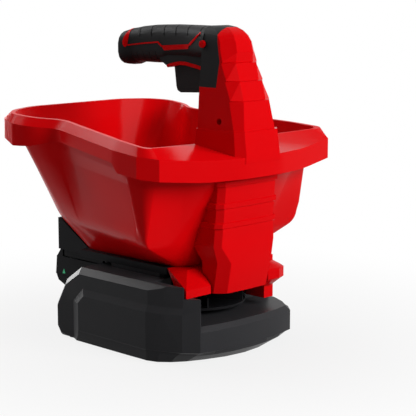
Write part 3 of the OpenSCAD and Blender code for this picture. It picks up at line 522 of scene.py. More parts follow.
def carve(name: str, node: str, cutters: Sequence[bpy.types.Object], finish: Finish,
          edge: Edge, limit: float = ROUND_ANGLE, flats: bool = True,
          joined: Sequence[bpy.types.Object] = ()) -> bpy.types.Object:
    """Copies a CAD node and cuts fine relief into the copy.

    Args:
        name: name of the new piece.
        node: the CAD node that it stands for.
        cutters: closed meshes to cut away, which the caller removes.
        finish: its material.
        edge: its edge rounding.
        limit: angle in degrees above which an edge is rounded.
        flats: whether the facets of each flat face are merged first.
        joined: closed meshes to add before the cuts, which the caller removes.

    Returns:
        The new piece, which replaces the node.
    """
    shape = bmesh.new()
    shape.from_mesh(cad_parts[node].data)
    bmesh.ops.remove_doubles(shape, verts=shape.verts, dist=WELD)
    mesh = bpy.data.meshes.new(name)
    shape.to_mesh(mesh)
    shape.free()
    mesh.materials.clear()
    piece = bpy.data.objects.new(name, mesh)
    bpy.context.scene.collection.objects.link(piece)
    steps = [("UNION", other) for other in joined] + [("DIFFERENCE", cutter) for cutter in cutters]
    combine(piece, steps, finish)
    soften(piece, edge, limit, flats)
    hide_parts(node)
    return piece


def discard(pieces: Sequence[bpy.types.Object]) -> None:
    """Removes scratch objects."""
    for piece in pieces:
        bpy.data.objects.remove(piece)


def lettering(name: str, text: str, size: float, thickness: float, spot: Vector, right: Vector,
              up: Vector, finish: Finish) -> bpy.types.Object:
    """Makes a raised printed character.

    Args:
        name: name of the piece.
        text: a digit or a sign.
        size: height of the type in millimetres.
        thickness: how far it stands out, in millimetres.
        spot: its middle, in metres.
        right: direction of reading.
        up: upward direction of the type.
        finish: its material.

    Returns:
        The new mesh object.
    """
    curve = bpy.data.curves.new(name, "FONT")
    curve.body = text
    curve.size = size * MM
    curve.align_x, curve.align_y = "CENTER", "CENTER"
    curve.extrude = thickness * MM
    curve.resolution_u = 4
    holder = bpy.data.objects.new(name + "_type", curve)
    bpy.context.scene.collection.objects.link(holder)
    bpy.context.view_layer.update()
    mesh = bpy.data.meshes.new_from_object(holder.evaluated_get(bpy.context.evaluated_depsgraph_get()))
    bpy.data.objects.remove(holder)
    low = [min(v.co[k] for v in mesh.vertices) for k in (0, 1)]
    high = [max(v.co[k] for v in mesh.vertices) for k in (0, 1)]
    middle = Vector(((low[0] + high[0]) / 2, (low[1] + high[1]) / 2, 0))
    axes = Matrix((right, up, right.cross(up))).transposed().to_4x4()
    mesh.transform(Matrix.Translation(spot) @ axes @ Matrix.Translation(-middle))
    mesh.materials.clear()
    mesh.materials.append(finish.material())
    piece = bpy.data.objects.new(name, mesh)
    bpy.context.scene.collection.objects.link(piece)
    return piece


def plate(name: str, outline: Sequence[Point], push: Vector, finish: Finish,
          edge: Edge = Edge.FINE) -> bpy.types.Object:
    """Makes a flat raised plate from an outline.

    Args:
        name: name of the piece.
        outline: points in the working frame.
        push: thickness and direction in millimetres.
        finish: its material.
        edge: its edge rounding.

    Returns:
        The new object.
    """
    low = [place(*p) for p in outline]
    return new_piece(name, *skin([low, [p + push * MM for p in low]]), finish, edge)


@dataclass
class Grip:
    """The handle: red column halves, black overmoulded grip with grooves and red accents."""

    top_z: float = 315.0
    stations: Tuple[Tuple[float, float, float, float], ...] = (
        (-33, 0.8, 32.5, 22.5), (-20, 0.6, 33, 20.4), (-4, 0.4, 33.5, 17.8), (24, 0.4, 35.5, 16.8),
        (31, 0.6, 38.4, 16.6), (48, 1.2, 38.8, 16.5), (67, 3, 38.8, 16.5), (76, 4.6, 39.4, 17),
        (82, 5.4, 42, 19), (91, 7.6, 42, 19), (95, 14, 36, 14))
    power: float = 2 / 2.7
    upper_groove: Flat = (1.5, 0.8)
    upper_lean: float = 7.0
    upper_places: Tuple[float, ...] = (60.7, 43.7, 25.6, 8.5, -8.7, -28.5)
    lower_groove: Flat = (1.1, 0.5)
    lower_places: Tuple[float, ...] = (74.0, 66.4, 57.3, 48.2, 39.0)
    groove_start: float = 16.0
    groove_steps: int = 24
    probe: Flat = (0.5, 0.01)
    shell_angle: float = 18.0
    accent_h: float = 0.3
    accent_root: float = 0.6
    accent_steps: Tuple[int, int] = (6, 4)
    accents: Tuple[Tuple[str, Tuple[Flat, ...], Tuple[Flat, ...]], ...] = (
        ("line", ((78, 293.7), (56, 296.2), (34.3, 298.1), (29, 294.4)),
         ((78, 292.4), (56, 294.8), (34.8, 296.6), (29.6, 292.6))),
        ("band", ((29.6, 294.3), (10, 295.6), (-12, 297.0)), ((25.8, 289.6), (10, 291.0), (-9.4, 292.4))),
        ("diagonal", ((-11.2, 297.4), (-20.2, 303.4), (-27.0, 309.2)),
         ((-13.0, 295.6), (-21.6, 301.9), (-27.9, 307.9))),
        ("end", ((81.0, 290.8), (83.6, 293.4), (84.2, 297.0), (82.8, 301.4), (81.2, 306.0), (80.2, 309.4)),
         ((78.4, 292.4), (78.0, 294.6), (77.8, 297.6), (77.6, 301.2), (78.2, 305.4), (79.4, 309.2))))

    def section(self, y: float) -> Tuple[float, float, float]:
        """Measures the grip at a place along it.

        Args:
            y: the place in millimetres.

        Returns:
            Middle height, half height and half width.
        """
        for a, b in zip(self.stations, self.stations[1:]):
            if y <= b[0] or b is self.stations[-1]:
                t = min(1.0, max(0.0, (y - a[0]) / (b[0] - a[0])))
                top, low, half = [a[k] + (b[k] - a[k]) * t for k in (1, 2, 3)]
                return self.top_z - (top + low) / 2, (low - top) / 2, half
        raise ValueError("no station")

    def surface(self, y: float, angle: float) -> Vector:
        """Finds a point of the grip's surface.

        Args:
            y: the place along it in millimetres.
            angle: the angle round it in radians, from the user's left.

        Returns:
            The point in metres.
        """
        middle, tall, half = self.section(y)
        side, up = math.cos(angle), math.sin(angle)
        return place(half * math.copysign(abs(side) ** self.power, side), y,
                     middle + tall * math.copysign(abs(up) ** self.power, up))

    def normal(self, y: float, angle: float) -> Vector:
        """Finds the outward normal of the grip's surface.

        Args:
            y: the place along it in millimetres.
            angle: the angle round it in radians.

        Returns:
            The unit normal.
        """
        step, turn = self.probe
        along = self.surface(y + step, angle) - self.surface(y - step, angle)
        round_ = self.surface(y, angle + turn) - self.surface(y, angle - turn)
        return round_.cross(along).normalized() * -1

    def angle_at(self, y: float, z: float, side: Side) -> float:
        """Finds the angle at which a side of the grip reaches a height.

        Args:
            y: the place along it in millimetres.
            z: the height in millimetres.
            side: which side.

        Returns:
            The angle in radians.
        """
        middle, tall, _ = self.section(y)
        share = max(-1.0, min(1.0, (z - middle) / tall))
        rise = math.asin(math.copysign(abs(share) ** (1 / self.power), share))
        return rise if side is Side.LEFT else math.pi - rise

    def groove(self, name: str, path: Sequence[Flat], size: Flat) -> bpy.types.Object:
        """Makes the cutter of a V groove along a path on the surface.

        Args:
            name: name of the scratch object.
            path: places along the grip with angles round it.
            size: half width and depth of the groove.

        Returns:
            A closed cutter.
        """
        spots = [self.surface(y, a) for y, a in path]
        rings = []
        for i, (y, a) in enumerate(path):
            out = self.normal(y, a)
            along = (spots[min(i + 1, len(spots) - 1)] - spots[max(i - 1, 0)]).normalized()
            across = out.cross(along).normalized()
            wide, deep = size
            rings.append([spots[i] + (across * s * wide + out * h) * MM
                          for s, h in ((-1, deep), (0, -deep), (1, deep))])
        return new_piece(name, *skin(rings), BLACK_TPE)

    def cutters(self) -> List[bpy.types.Object]:
        """Makes the cutters of all the grooves: leaning ones over the top, upright ones below.

        Returns:
            The cutters, to be removed after use.
        """
        low = math.radians(self.groove_start)
        turns = [low + (math.pi - 2 * low) * i / self.groove_steps for i in range(self.groove_steps + 1)]
        made = []
        for k, y in enumerate(self.upper_places):
            path = [(y + self.upper_lean * math.sin(a) ** 2, a) for a in turns]
            made.append(self.groove(f"upper_groove_{k}", path, self.upper_groove))
        for k, y in enumerate(self.lower_places):
            made.append(self.groove(f"lower_groove_{k}", [(y, -a) for a in turns], self.lower_groove))
        return made

    def patch(self, name: str, rows: Sequence[Sequence[Flat]], side: Side) -> bpy.types.Object:
        """Lays a thin raised accent on a side of the grip.

        Args:
            name: name of the piece.
            rows: rows of points, each a place along the grip with a height.
            side: which side.

        Returns:
            The new object.
        """
        angles = [[(y, self.angle_at(y, z, side)) for y, z in row] for row in rows]
        grid = [[self.surface(y, a) for y, a in row] for row in angles]
        normals = [[self.normal(y, a) for y, a in row] for row in angles]
        points, faces = slab(grid, normals, -self.accent_root * MM, self.accent_h * MM)
        return new_piece(name, points, faces, RED_ABS)

    def along(self, line: Sequence[Flat], t: float) -> Flat:
        """Finds a point on a line, each of whose pieces counts the same.

        Args:
            line: points of the line.
            t: share of the way along it.

        Returns:
            The point.
        """
        whole = t * (len(line) - 1)
        i = min(int(whole), len(line) - 2)
        a, b, s = line[i], line[i + 1], whole - i
        return a[0] + (b[0] - a[0]) * s, a[1] + (b[1] - a[1]) * s

    def ribbon(self, upper: Sequence[Flat], lower: Sequence[Flat]) -> List[List[Flat]]:
        """Fills the space between two edges with rows of points.

        Args:
            upper: points of the upper edge.
            lower: points of the lower edge, as many.

        Returns:
            The rows, from the upper edge to the lower.
        """
        long, wide = self.accent_steps
        count = long * (len(upper) - 1)
        pairs = [(self.along(upper, i / count), self.along(lower, i / count)) for i in range(count + 1)]
        return [[self.along(pair, k / wide) for pair in pairs] for k in range(wide + 1)]

    def build(self) -> None:
        """Builds the grooved grip, its red accents and the pieces of the handle."""
        cutters = self.cutters()
        for side in Side:
            word = side.name.lower()
            pad = carve(f"grip_{word}_overmould", f"grip_{word}_pad", cutters, BLACK_TPE, Edge.SMALL)
            settle(pad, "frame")
            finish_node(f"handle_{word}_shell", RED_ABS, Edge.SOFT, self.shell_angle)
            for name, upper, lower in self.accents:
                accent = self.patch(f"accent_{name}_{word}", self.ribbon(upper, lower), side)
                settle(accent, "frame")
        discard(cutters)
        for name, finish, edge in (
                ("trigger_bezel", RED_ABS, Edge.SMALL), ("trigger", BLACK_TPE, Edge.SOFT),
                ("trigger_switch", CHARCOAL_ABS, Edge.FINE), ("trigger_spring", STEEL, Edge.NONE),
                ("lock_button", RED_ABS, Edge.SMALL), ("handle_screws", ZINC, Edge.FINE),
                ("wire_loom", BLACK_ABS, Edge.NONE)):
            finish_node(name, finish, edge)


@dataclass
class Hopper:
    """The moulded bin with its rim, collar and lower column, and what hangs under it.

    Plans run from the front flat round the corner, waist and ear to the rear flat on one side.
    """

    band_plan: Tuple[Flat, ...] = ((24, -91), (66, -83), (130, -70), (126, -26), (125, -19), (96, 96),
                                   (113, 120), (117, 153), (100, 174), (62, 187))
    crease_plan: Tuple[Flat, ...] = ((20, -43), (50, -42), (105, -41), (104.5, -37), (103, -28), (70, 86),
                                     (62, 112), (55, 138), (48, 154), (38, 160))
    floor_plan: Tuple[Flat, ...] = ((14, -34), (32, -34), (50, -20), (50, -6), (50, 0), (50, 50), (50, 70),
                                    (50, 96), (47, 108), (38, 110))
    outlet_plan: Tuple[Flat, ...] = ((10, -24), (18, -24), (22, -20), (22, -4), (22, 0), (22, 20), (22, 30),
                                     (22, 40), (20, 46), (14, 48))
    inward: Tuple[Flat, ...] = ((0, 1), (0, 1), (-0.9, 0.9), (-1, 0), (-1, 0), (-1, 0), (-1, 0.2),
                                (-1, -0.2), (-0.75, -0.8), (0, -1))
    rounds: Tuple[float, ...] = (10, 16, 14, 2, 2, 12, 12, 12, 10, 12)
    spans: Tuple[int, ...] = (4, 4, 4, 4, 16, 4, 3, 3, 4, 6)
    band_h: Tuple[float, ...] = (20, 20, 20, 20, 12, 12, 20, 23, 12, 12)
    band_flats: Tuple[int, ...] = (2, 7, 8)
    lip_front_z: float = 203.5
    lip_corner_z: float = 210.0
    lip_rear_z: float = 228.0
    slope: Flat = (7.0, 8.0)
    lip_w: float = 4.5
    lip_y: float = -33.0
    front_x: Flat = (17.0, 34.0)
    inner_front: Tuple[Flat, ...] = ((17.0, 5.0), (40.0, 5.0), (100.0, 9.0))
    wall: float = 3.0
    inner_wall: float = 3.5
    overhang: float = 9.0
    corner_overhang: float = 2.3
    rear_lift: float = 3.0
    crease_z: float = 115.0
    floor_z: float = 86.0
    skirt: float = 12.0
    round_angle: float = 32.0
    corner_share: float = 0.45
    corner_steps: int = 8
    crease_round: float = 10.0
    crease_steps: int = 6
    floor_steps: Tuple[float, ...] = (0.25, 0.5, 0.75)
    inner_steps: Tuple[float, ...] = (0.2, 0.4, 0.6, 0.8, 1.0)
    wall_steps: Tuple[float, ...] = (0.06, 0.12, 0.25, 0.4, 0.55, 0.6, 0.62, 0.64, 0.7, 0.76, 0.78, 0.8,
                                     0.9, 1.0)
    panel_in: Tuple[float, ...] = (0, 0, -1.0, -1.0, 1.6, 0, 0, 0, 0, 0)
    brow_in: Tuple[float, ...] = (0, 0, 0, -0.6, -2.4, -1.6, 0, 0, 0, 0)
    panel_foot: Flat = (0.02, 0.1)
    panel_head: Flat = (0.62, 0.78)
    column_profile: Tuple[Tuple[float, ...], ...] = (
        (64, 27, 36.5, 70.6, 47.5, 9), (94, 28, 37.5, 76.9, 47.5, 9), (110, 36.2, 41.5, 72.2, 38, 5.5),
        (130, 34.5, 40, 72.7, 34, 5.5), (190, 34, 39.5, 77.5, 34, 5.5))
    column_ridge: float = 1.1
    column_top: float = 189.9
    ribs: Tuple[float, ...] = (130, 149, 170)
    rib: Tuple[float, float, float] = (6.0, 0.8, 1.8)
    collar_rings: Tuple[Tuple[float, ...], ...] = (
        (189.5, 23.5, 31.5, 91.5, 31, 7), (198.5, 23, 31, 91, 31, 7), (219, 22.5, 29.8, 88.1, 32, 7))
    channel: Tuple[Flat, Flat, Flat] = ((-16, 16), (-66, -49.5), (60, 220))

    def moved(self, plan: Sequence[Flat], d: float) -> List[Flat]:
        """Returns a plan drawn in by a distance."""
        return [(x + d * i, y + d * j) for (x, y), (i, j) in zip(plan, self.inward)]

    def behind_column(self, plan: Sequence[Flat], y: float) -> List[Flat]:
        """Returns a plan whose front runs straight across behind the column."""
        return [(x, y) for x in self.front_x] + list(plan[2:])

    def level(self, z: float) -> List[float]:
        """Returns one height for every point of a plan."""
        return [z] * len(self.inward)

    def station(self, i: int) -> int:
        """Returns the plan point that a corner of a ring comes from, on either side."""
        count = len(self.inward)
        return i if i < count else 2 * count - 1 - i

    def pieces_after(self, i: int) -> int:
        """Returns how many pieces the side after a corner of a ring is divided into."""
        return self.spans[min(self.station(i), self.station((i + 1) % (2 * len(self.inward))))]

    def ring(self, plan: Sequence[Flat], heights: Sequence[float],
             flats: Sequence[int] = ()) -> List[Vector]:
        """Draws a closed ring from half a plan, with curved corners and evenly divided sides.

        Args:
            plan: points of one side.
            heights: height at each point.
            flats: corners that are cut straight.

        Returns:
            Points of the whole ring in millimetres.
        """
        half = [Vector((x, y, z)) for (x, y), z in zip(plan, heights)]
        loop = half + [across(p) for p in reversed(half)]
        ends = []
        for i, corner in enumerate(loop):
            before, after = loop[i - 1] - corner, loop[(i + 1) % len(loop)] - corner
            reach = min(self.rounds[self.station(i)], self.corner_share * min(before.length, after.length))
            ends.append((corner + before.normalized() * reach, corner + after.normalized() * reach))
        points = []
        for i, corner in enumerate(loop):
            start, end = ends[i]
            for k in range(self.corner_steps + 1):
                t = k / self.corner_steps
                bent = start * (1 - t) ** 2 + corner * 2 * t * (1 - t) + end * t * t
                points.append(start.lerp(end, t) if self.station(i) in flats else bent)
            follow, pieces = ends[(i + 1) % len(loop)][0], self.pieces_after(i)
            points += [end.lerp(follow, k / pieces) for k in range(1, pieces)]
        return points

    def inset(self, depths: Sequence[float]) -> List[Vector]:
        """Works out how far each point of a ring moves sideways on the wall.

        Args:
            depths: depth of the relief at each plan point, inward.

        Returns:
            The moves, in the order of a ring's points.
        """
        moved = [Vector((i * d, j * d, 0)) for (i, j), d in zip(self.inward, depths)]
        shifts = moved + [across(v) for v in reversed(moved)]
        points = []
        for i, shift in enumerate(shifts):
            then, pieces = shifts[(i + 1) % len(shifts)], self.pieces_after(i)
            points += [shift] * (self.corner_steps + 1)
            points += [shift.lerp(then, k / pieces) for k in range(1, pieces)]
        return points

    def lip_heights(self) -> List[float]:
        """Works out the slope of the lip.

        Returns:
            The height of the lip at each point of the plan.
        """
        front, rear = self.band_plan[2][1], self.band_plan[-1][1]
        rise = (self.lip_rear_z - self.lip_corner_z) / (rear - front)
        return [self.lip_front_z if i < 2 else self.lip_corner_z + (y - front) * rise
                for i, (_, y) in enumerate(self.band_plan)]

    def bin(self) -> List[List[Vector]]:
        """Draws the bin from its underside up the outside, over the lip and down inside.

        Returns:
            The rings, the last of which meets the first.
        """
        count, lip, floor = len(self.band_plan), self.lip_heights(), self.level(self.floor_z)
        top = [z - self.slope[1] + (self.rear_lift if i >= count - 2 else 0) for i, z in enumerate(lip)]
        low = [z - h for z, h in zip(top, self.band_h)]
        head = [z - self.wall for z in top]
        reach = [self.overhang * (self.corner_overhang if i == 2 else 1) for i in range(count)]
        under = [(x + d * i, y + d * j) for (x, y), (i, j), d in zip(self.band_plan, self.inward, reach)]
        narrow = self.moved(self.band_plan, self.wall)
        lip_out = self.behind_column(self.moved(self.band_plan, self.slope[0]), self.lip_y)
        lip_in = self.behind_column(self.moved(self.band_plan, self.slope[0] + self.lip_w),
                                    self.lip_y + self.lip_w)
        inner = [(x, self.lip_y + d) for x, d in self.inner_front]
        inner += self.moved(self.crease_plan, self.inner_wall)[3:]
        skirt = self.moved(self.floor_plan, self.wall)
        rings = self.rounded(self.ring(self.floor_plan, floor),
                             self.ring(self.crease_plan, self.level(self.crease_z)),
                             self.ring(under, head), self.wall_steps,
                             (self.inset(self.panel_in), self.inset(self.brow_in)))
        rings += [self.ring(plan, z, self.band_flats) for plan, z in (
            (narrow, head), (narrow, low), (self.band_plan, low), (self.band_plan, top))]
        rings.append(self.ring(lip_out, lip))
        rings += self.rounded(self.ring(lip_in, lip),
                              self.ring(inner, self.level(self.crease_z + self.wall)),
                              self.ring(self.outlet_plan, self.level(self.floor_z + self.wall)),
                              self.inner_steps)
        rings += [self.ring(plan, z) for plan, z in (
            (self.outlet_plan, floor), (self.moved(self.outlet_plan, -self.wall), floor),
            (skirt, self.level(self.floor_z + self.skirt)), (skirt, floor))]
        return rings

    def rounded(self, first: List[Vector], turn: List[Vector], last: List[Vector], steps: Sequence[float],
                relief: Optional[Tuple[List[Vector], List[Vector]]] = None) -> List[List[Vector]]:
        """Fills two neighbouring skins with rings, rounding the turn between them.

        Args:
            first: ring where the first skin starts.
            turn: ring where the two skins meet.
            last: ring where the second skin ends.
            steps: shares of the second skin at which rings stand.
            relief: sideways moves of the second skin's points on its panel and above it.

        Returns:
            The rings, with the first and the last.
        """
        starts, ends = [], []
        for a, p, b in zip(first, turn, last):
            reach = min(self.crease_round, self.corner_share * min((a - p).length, (b - p).length))
            starts.append(p + (a - p).normalized() * reach)
            ends.append(p + (b - p).normalized() * reach)
        rings = [first] + [[a.lerp(b, t) for a, b in zip(first, starts)] for t in self.floor_steps]
        for k in range(self.crease_steps + 1):
            t = k / self.crease_steps
            rings.append([a * (1 - t) ** 2 + p * 2 * t * (1 - t) + b * t * t
                          for a, p, b in zip(starts, turn, ends)])
        for t in steps:
            ring = [a.lerp(b, t) for a, b in zip(ends, last)]
            if relief:
                foot, head = [min(1.0, max(0.0, (t - low) / (high - low)))
                              for low, high in (self.panel_foot, self.panel_head)]
                ring = [p + panel * foot * (1 - head) + brow * head for p, panel, brow in zip(ring, *relief)]
            rings.append(ring)
        return rings

    def section(self, row: Sequence[float], ridge: float = 0.0, out: float = 0.0) -> List[Vector]:
        """Returns a section of the column.

        Args:
            row: height, front and side half widths, front and back reach, and bevel.
            ridge: how far the middle of the front stands out.
            out: how far a rib stands out there.

        Returns:
            Points of the section in millimetres.
        """
        z, front_half, side_half, front, back, bevel = row
        front_half, side_half, front = front_half + out, side_half + out, front + out / 2
        flat = [(front_half, -front), (side_half, bevel - front), (side_half, -back),
                (-side_half, -back), (-side_half, bevel - front), (-front_half, -front)]
        if ridge:
            flat = [(0.0, -front - ridge)] + flat
        return [Vector((x, y, z)) for x, y in flat]

    def column_at(self, z: float) -> List[float]:
        """Reads the lower column's profile.

        Args:
            z: the height in millimetres.

        Returns:
            The row of the profile there.
        """
        for a, b in zip(self.column_profile, self.column_profile[1:]):
            if z <= b[0]:
                t = (z - a[0]) / (b[0] - a[0])
                return [p + (q - p) * t for p, q in zip(a, b)]
        raise ValueError("above the column")

    def column(self) -> List[List[Vector]]:
        """Draws the lower column with its three ribs.

        Returns:
            The sections, from the foot up.
        """
        tall, lead, out = self.rib
        heights = [(row[0], 0.0) for row in self.column_profile[:3]]
        for z in self.ribs:
            heights += [(z - tall / 2, 0.0), (z - tall / 2 + lead, out), (z + tall / 2 - lead, out),
                        (z + tall / 2, 0.0)]
        heights.append((self.column_top, 0.0))
        return [self.section(self.column_at(z), self.column_ridge, d) for z, d in heights]

    def build(self) -> None:
        """Builds the shell and dresses what it carries."""
        points, faces = wrap(self.bin())
        shell = new_piece("hopper_shell", [place(*p) for p in points], faces, RED_ABS)
        column = solid("column_solid", self.column(), RED_ABS)
        collar = solid("collar_solid", [self.section(row) for row in self.collar_rings], RED_ABS)
        (x0, x1), (y0, y1), (z0, z1) = self.channel
        outline = ((x0, y0), (x1, y0), (x1, y1), (x0, y1))
        duct = solid("duct_solid", [[Vector((x, y, z)) for x, y in outline] for z in (z0, z1)], RED_ABS)
        combine(shell, [("UNION", column), ("UNION", collar), ("DIFFERENCE", duct)], RED_ABS)
        discard([column, collar, duct])
        soften(shell, Edge.SOFT, self.round_angle, flats=False)
        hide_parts("hopper")
        settle(shell, "frame")
        for name, finish, edge in (
                ("spinner_guard", RED_ABS, Edge.SOFT), ("agitator", BLACK_ABS, Edge.SMALL),
                ("shutter", CHARCOAL_ABS, Edge.FINE), ("dock", BLACK_ABS, Edge.SMALL),
                ("upper_bearing", BRONZE, Edge.FINE), ("control_board", BOARD, Edge.FINE),
                ("contact_block", BRONZE, Edge.FINE)):
            finish_node(name, finish, edge)


@dataclass
class Base:
    """The charcoal housing with its cover, feet and drive."""

    panel_limit: float = 12.0
    border: Tuple[Point, ...] = ((-1.0, 0.0, 84.0), (40.0, 0.0, 84.0), (57.5, -20.0, 86.05))
    border_y: Tuple[float, float, float] = (73.4, 89.0, 118.6)
    border_x: Tuple[float, float, float] = (90.0, 86.05, 96.0)
    toe_z: Tuple[float, ...] = (13.2, 8.0, 0.6, 2.0)
    toe_x: Tuple[Tuple[float, ...], ...] = (
        (0, 0, 0, 0), (23.2, 23.2, 23.0, 22), (45.5, 45.5, 45.4, 43), (63.1, 62.8, 62.6, 58),
        (74.3, 75.0, 74.5, 68), (83.8, 84.4, 83.0, 76), (88.7, 88.3, 86.6, 80), (88.7, 88.6, 86.9, 80),
        (88.7, 88.6, 86.9, 80))
    toe_y: Tuple[Tuple[float, ...], ...] = (
        (-77.7, -77.0, -68, -55), (-76.9, -75.6, -65.5, -54), (-74.7, -71.0, -58.5, -51),
        (-70.6, -63.5, -51, -44), (-57.7, -50.5, -42.5, -34), (-39.8, -36.5, -33, -24),
        (-22.8, -22.8, -22, -12), (10, 10, 10, 10), (95, 95, 95, 95))

    def toe(self) -> bpy.types.Object:
        """Makes the lower edge of the housing, a bar that runs round its front and along both sides.

        Returns:
            A solid to join to the housing.
        """
        half = [[Vector((x, y, z)) for x, y, z in zip(xs, ys, self.toe_z)]
                for xs, ys in zip(self.toe_x, self.toe_y)]
        other = [[across(p) for p in ring] for ring in reversed(half[1:])]
        return solid("toe_solid", other + half, CHARCOAL_ABS)

    def border_cut(self, side: Side) -> bpy.types.Object:
        """Makes the cutter that gives a raised side panel its broad sloping border at the rear.

        Args:
            side: which panel.

        Returns:
            A closed cutter.
        """
        front, foot, rear = self.border_y
        panel, wall, out = self.border_x
        rings = [[Vector((side.value * x, y, z)) for x, y in (
            (panel, front + d), (deep, foot + d), (wall, rear), (out, rear), (out, front + d))]
            for z, d, deep in self.border]
        return solid(f"border_cut_{side.name.lower()}", rings, CHARCOAL_ABS)

    def build(self) -> None:
        """Dresses the housing and what it holds."""
        cutters, toe = [self.border_cut(side) for side in Side], self.toe()
        shell = carve("base_shell", "base_housing", cutters, CHARCOAL_ABS, Edge.SOFT, self.panel_limit,
                      flats=False, joined=[toe])
        settle(shell, "frame")
        discard(cutters + [toe])
        for name, finish, edge in (
                ("base_cover", BLACK_ABS, Edge.SMALL), ("base_screws", ZINC, Edge.FINE),
                ("rubber_feet", RUBBER, Edge.SMALL), ("lower_bearing", BRONZE, Edge.FINE),
                ("motor_pinion", BRONZE, Edge.FINE), ("spindle", STEEL, Edge.FINE),
                ("idler_pin", STEEL, Edge.FINE), ("motor", STEEL, Edge.FINE),
                ("spindle_gear", NYLON, Edge.NONE), ("idler_gear", NYLON, Edge.NONE),
                ("spinner", BLACK_ABS, Edge.FINE)):
            finish_node(name, finish, edge)


@dataclass
class Controls:
    """The numbered flow dial and the speed wheel on the user's left."""

    dial: Point = (102.0, 22.0, 73.0)
    digit_r: float = 9.8
    dial_type: Flat = (5.6, 0.15)
    steps: int = 8
    hub_x: float = 104.2
    hub_mark: float = 2.7
    hub_h: float = 0.45
    boss_x: float = 89.5
    arc_r: Flat = (18.7, 20.5)
    arc_turns: Tuple[Flat, ...] = ((-58, -24), (-20, 20), (24, 58))
    arc_steps: int = 10
    arc_h: Flat = (-0.4, 0.5)
    pointer: Tuple[Flat, ...] = ((18.4, 0.0), (20.9, -5.5), (20.9, 5.5))
    pointer_h: float = 1.0
    wheel: Point = (75.0, 68.0, 60.0)
    wheel_r: float = 15.0
    wheel_steps: int = 6
    wheel_pitch: float = 54.0
    wheel_type: Flat = (4.8, 0.2)
    sign_gap: float = 15.6
    sign_arm: Flat = (2.6, 0.8)
    sign_h: Flat = (-0.4, 0.4)
    wall_x: float = 86.0
    brow: Tuple[Flat, ...] = ((-8.0, 5.2), (-4.0, 6.3), (0.0, 6.7), (4.0, 6.3), (8.0, 5.2))
    brow_w: float = 1.3
    brow_h: Flat = (-0.4, 0.6)

    def build(self) -> None:
        """Dresses the controls and adds their printed marks."""
        for name, finish, edge in (
                ("dial_shaft", CHARCOAL_ABS, Edge.NONE), ("flow_dial", RED_ABS, Edge.SMALL),
                ("dial_face", CHARCOAL_ABS, Edge.FINE), ("speed_wheel", CRIMSON_ABS, Edge.FINE),
                ("speed_pot", CHARCOAL_ABS, Edge.FINE)):
            finish_node(name, finish, edge)
        self.dial_marks()
        self.dial_index()
        self.wheel_marks()
        self.wheel_signs()

    def round_dial(self, x: float, radius: float, degrees: float) -> Point:
        """Returns a point round the dial's axis, with the angle clockwise from the top."""
        turn = math.radians(degrees)
        return x, self.dial[1] + radius * math.sin(turn), self.dial[2] + radius * math.cos(turn)

    def dial_marks(self) -> None:
        """Prints the numbers on the dial's face and the square on its hub."""
        for k in range(self.steps):
            degrees = 360 / self.steps * (k + 1)
            turn = math.radians(degrees)
            out = Vector((0, math.sin(turn), math.cos(turn)))
            right = Vector((0, math.cos(turn), -math.sin(turn)))
            spot = place(*self.round_dial(self.dial[0], self.digit_r, degrees))
            digit = lettering(f"dial_number_{k + 1}", str(k + 1), *self.dial_type, spot, right, out,
                              WHITE_INK)
            settle(digit, "dial")
        square = [self.round_dial(self.hub_x, self.hub_mark, 90 * k) for k in range(4)]
        settle(plate("dial_hub_mark", square, Vector((self.hub_h, 0, 0)), WHITE_INK), "dial")

    def bar(self, name: str, rows: Sequence[Sequence[Point]], heights: Flat,
            finish: Finish) -> bpy.types.Object:
        """Makes a raised bar on the side of the housing.

        Args:
            name: name of the piece.
            rows: its two edges, in the working frame.
            heights: offsets of its under face and outer face in millimetres.
            finish: its material.

        Returns:
            The new object.
        """
        grid = [[place(*p) for p in row] for row in rows]
        away = [[Vector((1, 0, 0))] * len(row) for row in grid]
        low, high = heights
        return new_piece(name, *slab(grid, away, low * MM, high * MM), finish, Edge.FINE)

    def dial_index(self) -> None:
        """Adds the red pointer over the dial and the three dark bars of the arc that it stands on."""
        for k, (start, end) in enumerate(self.arc_turns):
            turns = [start + (end - start) * i / self.arc_steps for i in range(self.arc_steps + 1)]
            rows = [[self.round_dial(self.boss_x, r, t) for t in turns] for r in self.arc_r]
            settle(self.bar(f"dial_arc_{k + 1}", rows, self.arc_h, BLACK_ABS), "frame")
        tip = [self.round_dial(self.boss_x, r, t) for r, t in self.pointer]
        settle(plate("dial_pointer", tip, Vector((self.pointer_h, 0, 0)), RED_ABS), "frame")

    def wheel_marks(self) -> None:
        """Prints the numbers round the speed wheel."""
        for k in range(self.wheel_steps):
            turn = math.radians(-self.wheel_pitch * k)
            number = str(self.wheel_steps - k)
            out = Vector((math.cos(turn), math.sin(turn), 0))
            right = Vector((-math.sin(turn), math.cos(turn), 0))
            spot = place(*self.wheel) + out * self.wheel_r * MM
            digit = lettering(f"wheel_number_{number}", number, *self.wheel_type, spot, right,
                              Vector((0, 0, 1)), WHITE_INK)
            settle(digit, "speed")

    def wheel_signs(self) -> None:
        """Adds the raised minus and plus beside the wheel's slot and the arc over it."""
        _, y, z = self.wheel
        long, short = self.sign_arm
        low, high = self.sign_h
        cross = [(-long, -short), (-short, -short), (-short, -long), (short, -long), (short, -short),
                 (long, -short), (long, short), (short, short), (short, long), (-short, long),
                 (-short, short), (-long, short)]
        for word, outline, side in (("minus", corners(long, short), -1), ("plus", cross, 1)):
            points = [(self.wall_x + low, y + side * self.sign_gap + a, z + b) for a, b in outline]
            sign = plate(f"speed_{word}", points, Vector((high - low, 0, 0)), WHITE_INK)
            settle(sign, "frame")
        rows = [[(self.wall_x, y + a, z + b + lift) for a, b in self.brow] for lift in (0, self.brow_w)]
        settle(self.bar("speed_arc", rows, self.brow_h, CHARCOAL_ABS), "frame")


